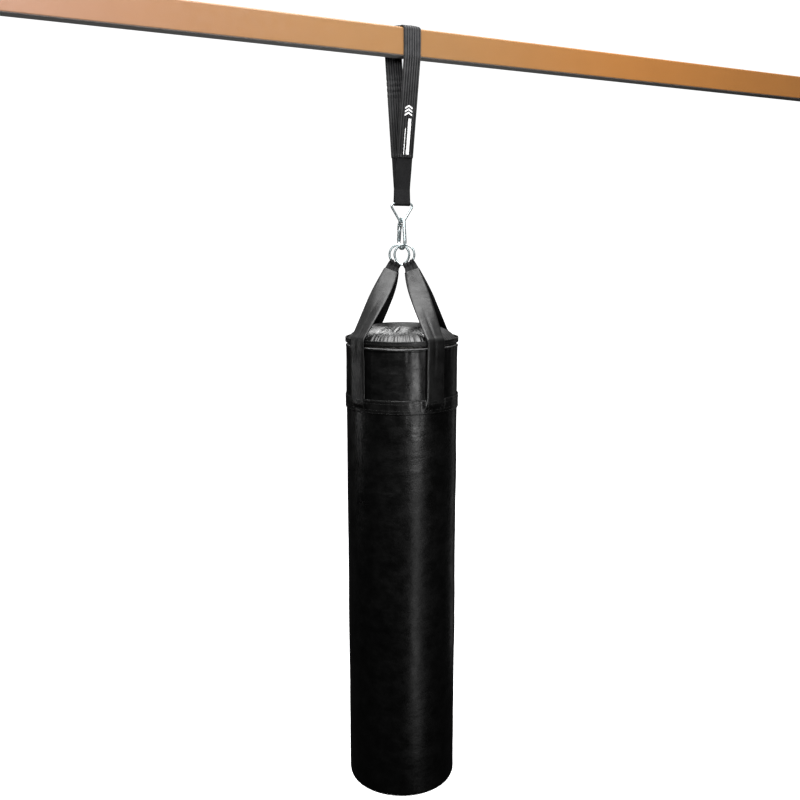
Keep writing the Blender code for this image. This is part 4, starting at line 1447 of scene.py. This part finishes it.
# %% Upper collar
COLLAR_ROW = 0.0025
FOLD_FOOT_Z = COLLAR_TOP_Z - 0.006
FOLD_HEIGHT = 0.0078
FOLD_OUT = 0.0011
wall = rows_between(BAND_MIDDLE_Z + HALF_SEAM, FOLD_FOOT_Z, SKIN_RADIUS, COLLAR_ROW)
fold = [
    (SKIN_RADIUS + FOLD_OUT * math.sin(math.pi * k / 8), FOLD_FOOT_Z + FOLD_HEIGHT * k / 8)
    for k in range(1, 9)
]
collar_shape = turned(wall + fold, BAG_SIDES)


def collar_move(angle, z, radius):
    pull = 0.0016 * seam_pucker(angle, RIM_Z - z, 0.08, 15.0)
    pull += 0.0009 * seam_pucker(angle, z - BAND_MIDDLE_Z, 0.05, 21.0)
    return min(pack_lumps(angle, z) + pull, 0.0018) - 0.0008 * under_strap(angle, 0.045)


shift_out(collar_shape, collar_move)
collar = add_piece("upper_collar_vinyl", collar_shape, bag_vinyl, None, 50.0)
thicken(collar, SKIN)
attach(collar, "bag")
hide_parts("upper_collar")

# %% [markdown]
# ### Rim binding
#
# The lid and the tube meet in a bound edge: a strip of vinyl folded over both and sewn through. It
# stands up a little above the tube and has one row of stitches along its middle.

# %% Rim binding
HEM_RADIUS = SHELL_INNER + HEM_THICKNESS
HEM_FOOT_Z = RIM_Z + 0.0056
HEM_MIDDLE_Z = (HEM_FOOT_Z + HEM_TOP_Z) / 2
bind = 0.0016
half_height = (HEM_TOP_Z + 0.001 - HEM_FOOT_Z) / 2
section = []
for k in range(25):
    angle = 2 * math.pi * k / 24
    across = math.copysign(abs(math.cos(angle)) ** 0.55, math.cos(angle))
    upward = math.copysign(abs(math.sin(angle)) ** 0.45, math.sin(angle))
    section.append((HEM_RADIUS - bind + bind * across, HEM_MIDDLE_Z + 0.0004 + half_height * upward))
binding_shape = turned(section, 360)


def binding_move(angle, z, radius):
    return 0.0005 * seam_pucker(angle, 0.0, 1.0, 31.0) - 0.0006 * math.exp(
        -(((z - HEM_MIDDLE_Z) / 0.0016) ** 2)
    )


shift_out(binding_shape, binding_move)
for vertex in binding_shape.verts:
    angle = math.atan2(vertex.co.y, vertex.co.x)
    vertex.co.z += 0.0006 * noise.noise(Vector((math.cos(angle), math.sin(angle), 5.0)) * 6.0)
binding = add_piece("rim_binding", binding_shape, cover_vinyl, "bag", 60.0)
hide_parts("rim_hem")
binding_route = hoop(HEM_RADIUS, HEM_MIDDLE_Z)
stitches = flat_stitches(
    [0.0], 0.0, binding_route[-1][0], pitch=0.0048, length=0.0036, thickness=0.0008, rise=-0.0003
)
lay(stitches, binding_route)
add_piece("rim_stitches", stitches, thread, "bag")

# %% [markdown]
# ### Lid
#
# The lid is a round panel, sewn in at the rim and pushed up by the filling. It starts as a low dome
# of quads. A short cloth simulation then presses it out from inside, with a little spare cloth and
# its edge held, and each point's move is cut to a fraction of what it asks for. The small gathers
# along the seam are added afterwards, as a wave that fades out towards the middle.

# %% Lid disc
LID_RADIUS = lid_high.x
LID_CROWN = lid_high.z - 0.004
LID_FOOT_Z = RIM_Z + 0.0100
LID_CELLS = 88


def disc_from_grid(cells, radius):
    """A round sheet of quads. A square grid is pushed out to a circle, so that it has no pole."""
    shape = bmesh.new()
    bmesh.ops.create_grid(shape, x_segments=cells, y_segments=cells, size=1.0)
    for vertex in shape.verts:
        x, y = vertex.co.x, vertex.co.y
        vertex.co.x = x * math.sqrt(1 - y * y / 2) * radius
        vertex.co.y = y * math.sqrt(1 - x * x / 2) * radius
    return shape


lid_shape = disc_from_grid(LID_CELLS, LID_RADIUS)
LID_HEIGHT = LID_CROWN - LID_FOOT_Z
for vertex in lid_shape.verts:
    share = min(vertex.co.xy.length / LID_RADIUS, 1.0)
    vertex.co.z = LID_FOOT_Z + LID_HEIGHT * 0.94 * (1 - share**4.2) ** 0.9
lid_shape.normal_update()
lid_finish = make_vinyl("lid vinyl", specular=0.58)
lid = add_piece("lid_vinyl", lid_shape, lid_finish, None, 60.0)

# %% Gather the lid
LID_FRAMES = 18
LID_SPARE = 0.005
LID_REACH = 0.0016
held = lid.vertex_groups.new(name="sewn edge")
rim = [v.index for v in lid.data.vertices if v.co.xy.length > LID_RADIUS * 0.985]
held.add(rim, 1.0, "REPLACE")
before = [v.co.copy() for v in lid.data.vertices]
cloth = lid.modifiers.new("Cloth", "CLOTH")
cloth.settings.quality = 8
cloth.settings.mass = 0.5
cloth.settings.tension_stiffness = 30
cloth.settings.compression_stiffness = 30
cloth.settings.bending_stiffness = 0.6
cloth.settings.use_pressure = True
cloth.settings.uniform_pressure_force = 4.0
cloth.settings.shrink_min = -LID_SPARE
cloth.settings.vertex_group_mass = held.name
cloth.settings.effector_weights.gravity = 0.0
cloth.point_cache.frame_start = 1
cloth.point_cache.frame_end = LID_FRAMES
for moment in range(1, LID_FRAMES + 1):
    bpy.context.scene.frame_set(moment)
bpy.context.view_layer.update()
settled = lid.evaluated_get(bpy.context.evaluated_depsgraph_get()).to_mesh()
places = [v.co.copy() for v in settled.vertices]
lid.evaluated_get(bpy.context.evaluated_depsgraph_get()).to_mesh_clear()
lid.modifiers.remove(cloth)
bpy.context.scene.frame_set(1)
farthest = 0.0
for vertex, start, place in zip(lid.data.vertices, before, places):
    move = place - start
    farthest = max(farthest, move.length)
    if move.length > LID_REACH:
        move = move.normalized() * LID_REACH
    vertex.co = start + move
    vertex.co.z = min(vertex.co.z, lid_high.z + 0.004)
lid.vertex_groups.clear()
print("lid moved up to", round(1000 * farthest, 1), "mm; kept to", 1000 * LID_REACH)
LID_GATHERS = 84
GATHER_DEPTH = 0.0016
GATHER_REACH = 0.034
finer = bmesh.new()
finer.from_mesh(lid.data)
bmesh.ops.subdivide_edges(finer, edges=finer.edges[:], cuts=1, use_grid_fill=True, smooth=0.5)
for vertex in finer.verts:
    share = vertex.co.xy.length / LID_RADIUS
    angle = math.atan2(vertex.co.y, vertex.co.x)
    around = Vector((math.cos(angle), math.sin(angle), 0))
    drift = 1.4 * noise.noise(around * 5.0)
    depth = 0.55 + 0.9 * noise.noise(around * 9.0 + Vector((0, 0, 2.0)))
    fade = max(0.0, 1 - (1 - share) * LID_RADIUS / GATHER_REACH) ** 0.8
    vertex.co.z += GATHER_DEPTH * depth * fade * math.cos(LID_GATHERS * angle + 6 * drift)
finer.to_mesh(lid.data)
finer.free()
lid.data.shade_smooth()
thicken(lid, SKIN * 0.6)
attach(lid, "bag")
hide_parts("lid_panel")

# %% [markdown]
# ### Bottom, seam band and seams
#
# The bottom is a flat round panel, bulging a little, with puckers where it is sewn in. A wide band
# covers the seam between the tube and its collar and holds the feet of the straps, so it rises
# over each of them. Two double rows of stitches hold it.

# %% Bottom panel
BOTTOM_RADIUS = BAG_RADIUS - CORNER - 0.0004
bottom_shape = disc_from_grid(80, BOTTOM_RADIUS)
for vertex in bottom_shape.verts:
    share = min(vertex.co.xy.length / BOTTOM_RADIUS, 1.0)
    angle = math.atan2(vertex.co.y, vertex.co.x)
    pucker = 0.0012 * seam_pucker(angle, (1 - share) * BOTTOM_RADIUS, 0.035, 51.0)
    bulge = BOTTOM_RISE * (0.92 * share**2)
    vertex.co.z = max(0.0003 + bulge + pucker, 0.0002)
bmesh.ops.reverse_faces(bottom_shape, faces=bottom_shape.faces[:])
bottom = add_piece("bottom_vinyl", bottom_shape, bag_vinyl, None, 50.0)
thicken(bottom, SKIN * 0.6)
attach(bottom, "bag")
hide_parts("bottom_panel")

# %% Seam band
BAND_HALF = (band_high.z - band_low.z) / 2
BAND_RADIUS = band_high.x
BAND_SEAT = 0.0042
BAND_REACH_OUT = 0.040


def band_out(distance, height):
    """How far the band stands out over the foot of a strap. Height is from the band's middle."""
    angle = math.pi / 2 + distance / BAND_RADIUS
    climb = min(max((height + BAND_HALF * 0.62) / (BAND_HALF * 0.95), 0.0), 1.0)
    over = BAND_SEAT * under_strap(angle, BAND_REACH_OUT) * climb * climb * (3 - 2 * climb)
    return over + 0.0004 * seam_pucker(angle, 0.0, 1.0, 61.0 + height * 40)


def band_shape_at(share, distance):
    rolled = 0.0006 * (1 - abs(share) ** 6)
    return share * BAND_HALF, band_out(distance, share * BAND_HALF) + rolled


band_route = hoop(BAND_RADIUS, BAND_MIDDLE_Z)
band_length = band_route[-1][0]
band_shape = flat_strip(0.0, band_length, 22, 720, band_shape_at)
lay(band_shape, band_route)
bmesh.ops.remove_doubles(band_shape, verts=band_shape.verts[:], dist=1e-5)
bmesh.ops.recalc_face_normals(band_shape, faces=band_shape.faces[:])
outward = 0.0
for face in band_shape.faces:
    middle = face.calc_center_median()
    outward += face.normal.dot(Vector((middle.x, middle.y, 0)))
if outward < 0:
    bmesh.ops.reverse_faces(band_shape, faces=band_shape.faces[:])
band = add_piece("seam_band_vinyl", band_shape, bag_vinyl, None, 50.0)
thicken(band, 0.0013)
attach(band, "bag")
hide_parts("seam_band")

# %% Seam band stitches
STITCH_ROWS = (BAND_HALF - 0.0030, BAND_HALF - 0.0100, -BAND_HALF + 0.0110, -BAND_HALF + 0.0034)
for number, row in enumerate(STITCH_ROWS):

    def stitch_rise(distance, _, row=row):
        return band_out(distance, row) + 0.0007

    stitches = flat_stitches(
        [row], 0.0, band_length, pitch=0.0044, length=0.0034, thickness=0.0008, rise=stitch_rise
    )
    lay(stitches, band_route)
    add_piece(f"seam_band_stitches_{number + 1}", stitches, thread, "bag")


# %% Bar tacks
def add_tacks():
    """A dense bar of stitches at each side of a strap's foot."""
    shape = bmesh.new()
    for strap in STRAP_ANGLES:
        middle = ((strap - math.pi / 2) % (2 * math.pi)) * BAND_RADIUS
        for side in (-1, 1):
            for k in range(14):
                height = BAND_HALF - 0.004 - 0.0022 * k
                distance = middle + side * (COVER_WIDTH / 2 - 0.006) + 0.0016 * (-1) ** k
                size = Matrix.Diagonal((0.0006, 0.0052, 0.0006, 1))
                lean = Matrix.Rotation(0.35 * (-1) ** k, 4, "Z")
                rise = band_out(distance, height) + 0.0006
                add_stitch(shape, Matrix.Translation((height, distance, rise)) @ lean @ size)
    lay(shape, band_route)
    add_piece("strap_foot_tacks", shape, thread, "bag")


add_tacks()

# %% Back seam
back_route = make_route(
    [Vector((0, BAG_RADIUS + 0.0006, z / 100)) for z in range(2, 109)], lambda share, point: X_AXIS
)
back_route = [(d, p, a, Y_AXIS) for d, p, a, _ in back_route]
back_end = back_route[-1][0] - 0.002
back_stitches = flat_stitches([-0.004, 0.004], 0.0, back_end, pitch=0.0055, length=0.0042, thickness=0.0008)
lay(back_stitches, back_route)
add_piece("back_seam_stitches", back_stitches, thread, "bag")


# %% Foam and filling
def make_soft_finish(name, colour, scale):
    finish, tree, shader = new_finish(name, colour, 0.95, specular=0.2)
    place = add_node(tree, "TexCoord").outputs["Object"]
    speckle = noise_at(tree, place, scale, 6.0, 0.7)
    low, high = [tuple(c * k for c in colour) for k in (0.6, 1.3)]
    tree.links.new(ramp(tree, speckle, [(0.3, low), (0.7, high)]), shader.inputs["Base Color"])
    bumps(tree, shader, [(speckle, 0.002, 0.5)])
    return finish


inner_finishes = {
    "foam_lining": make_soft_finish("grey foam", (0.30, 0.30, 0.30), 260.0),
    "filling": make_soft_finish("textile filling", (0.40, 0.38, 0.36), 90.0),
}
for node, finish in inner_finishes.items():
    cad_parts[node].data.materials.clear()
    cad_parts[node].data.materials.append(finish)
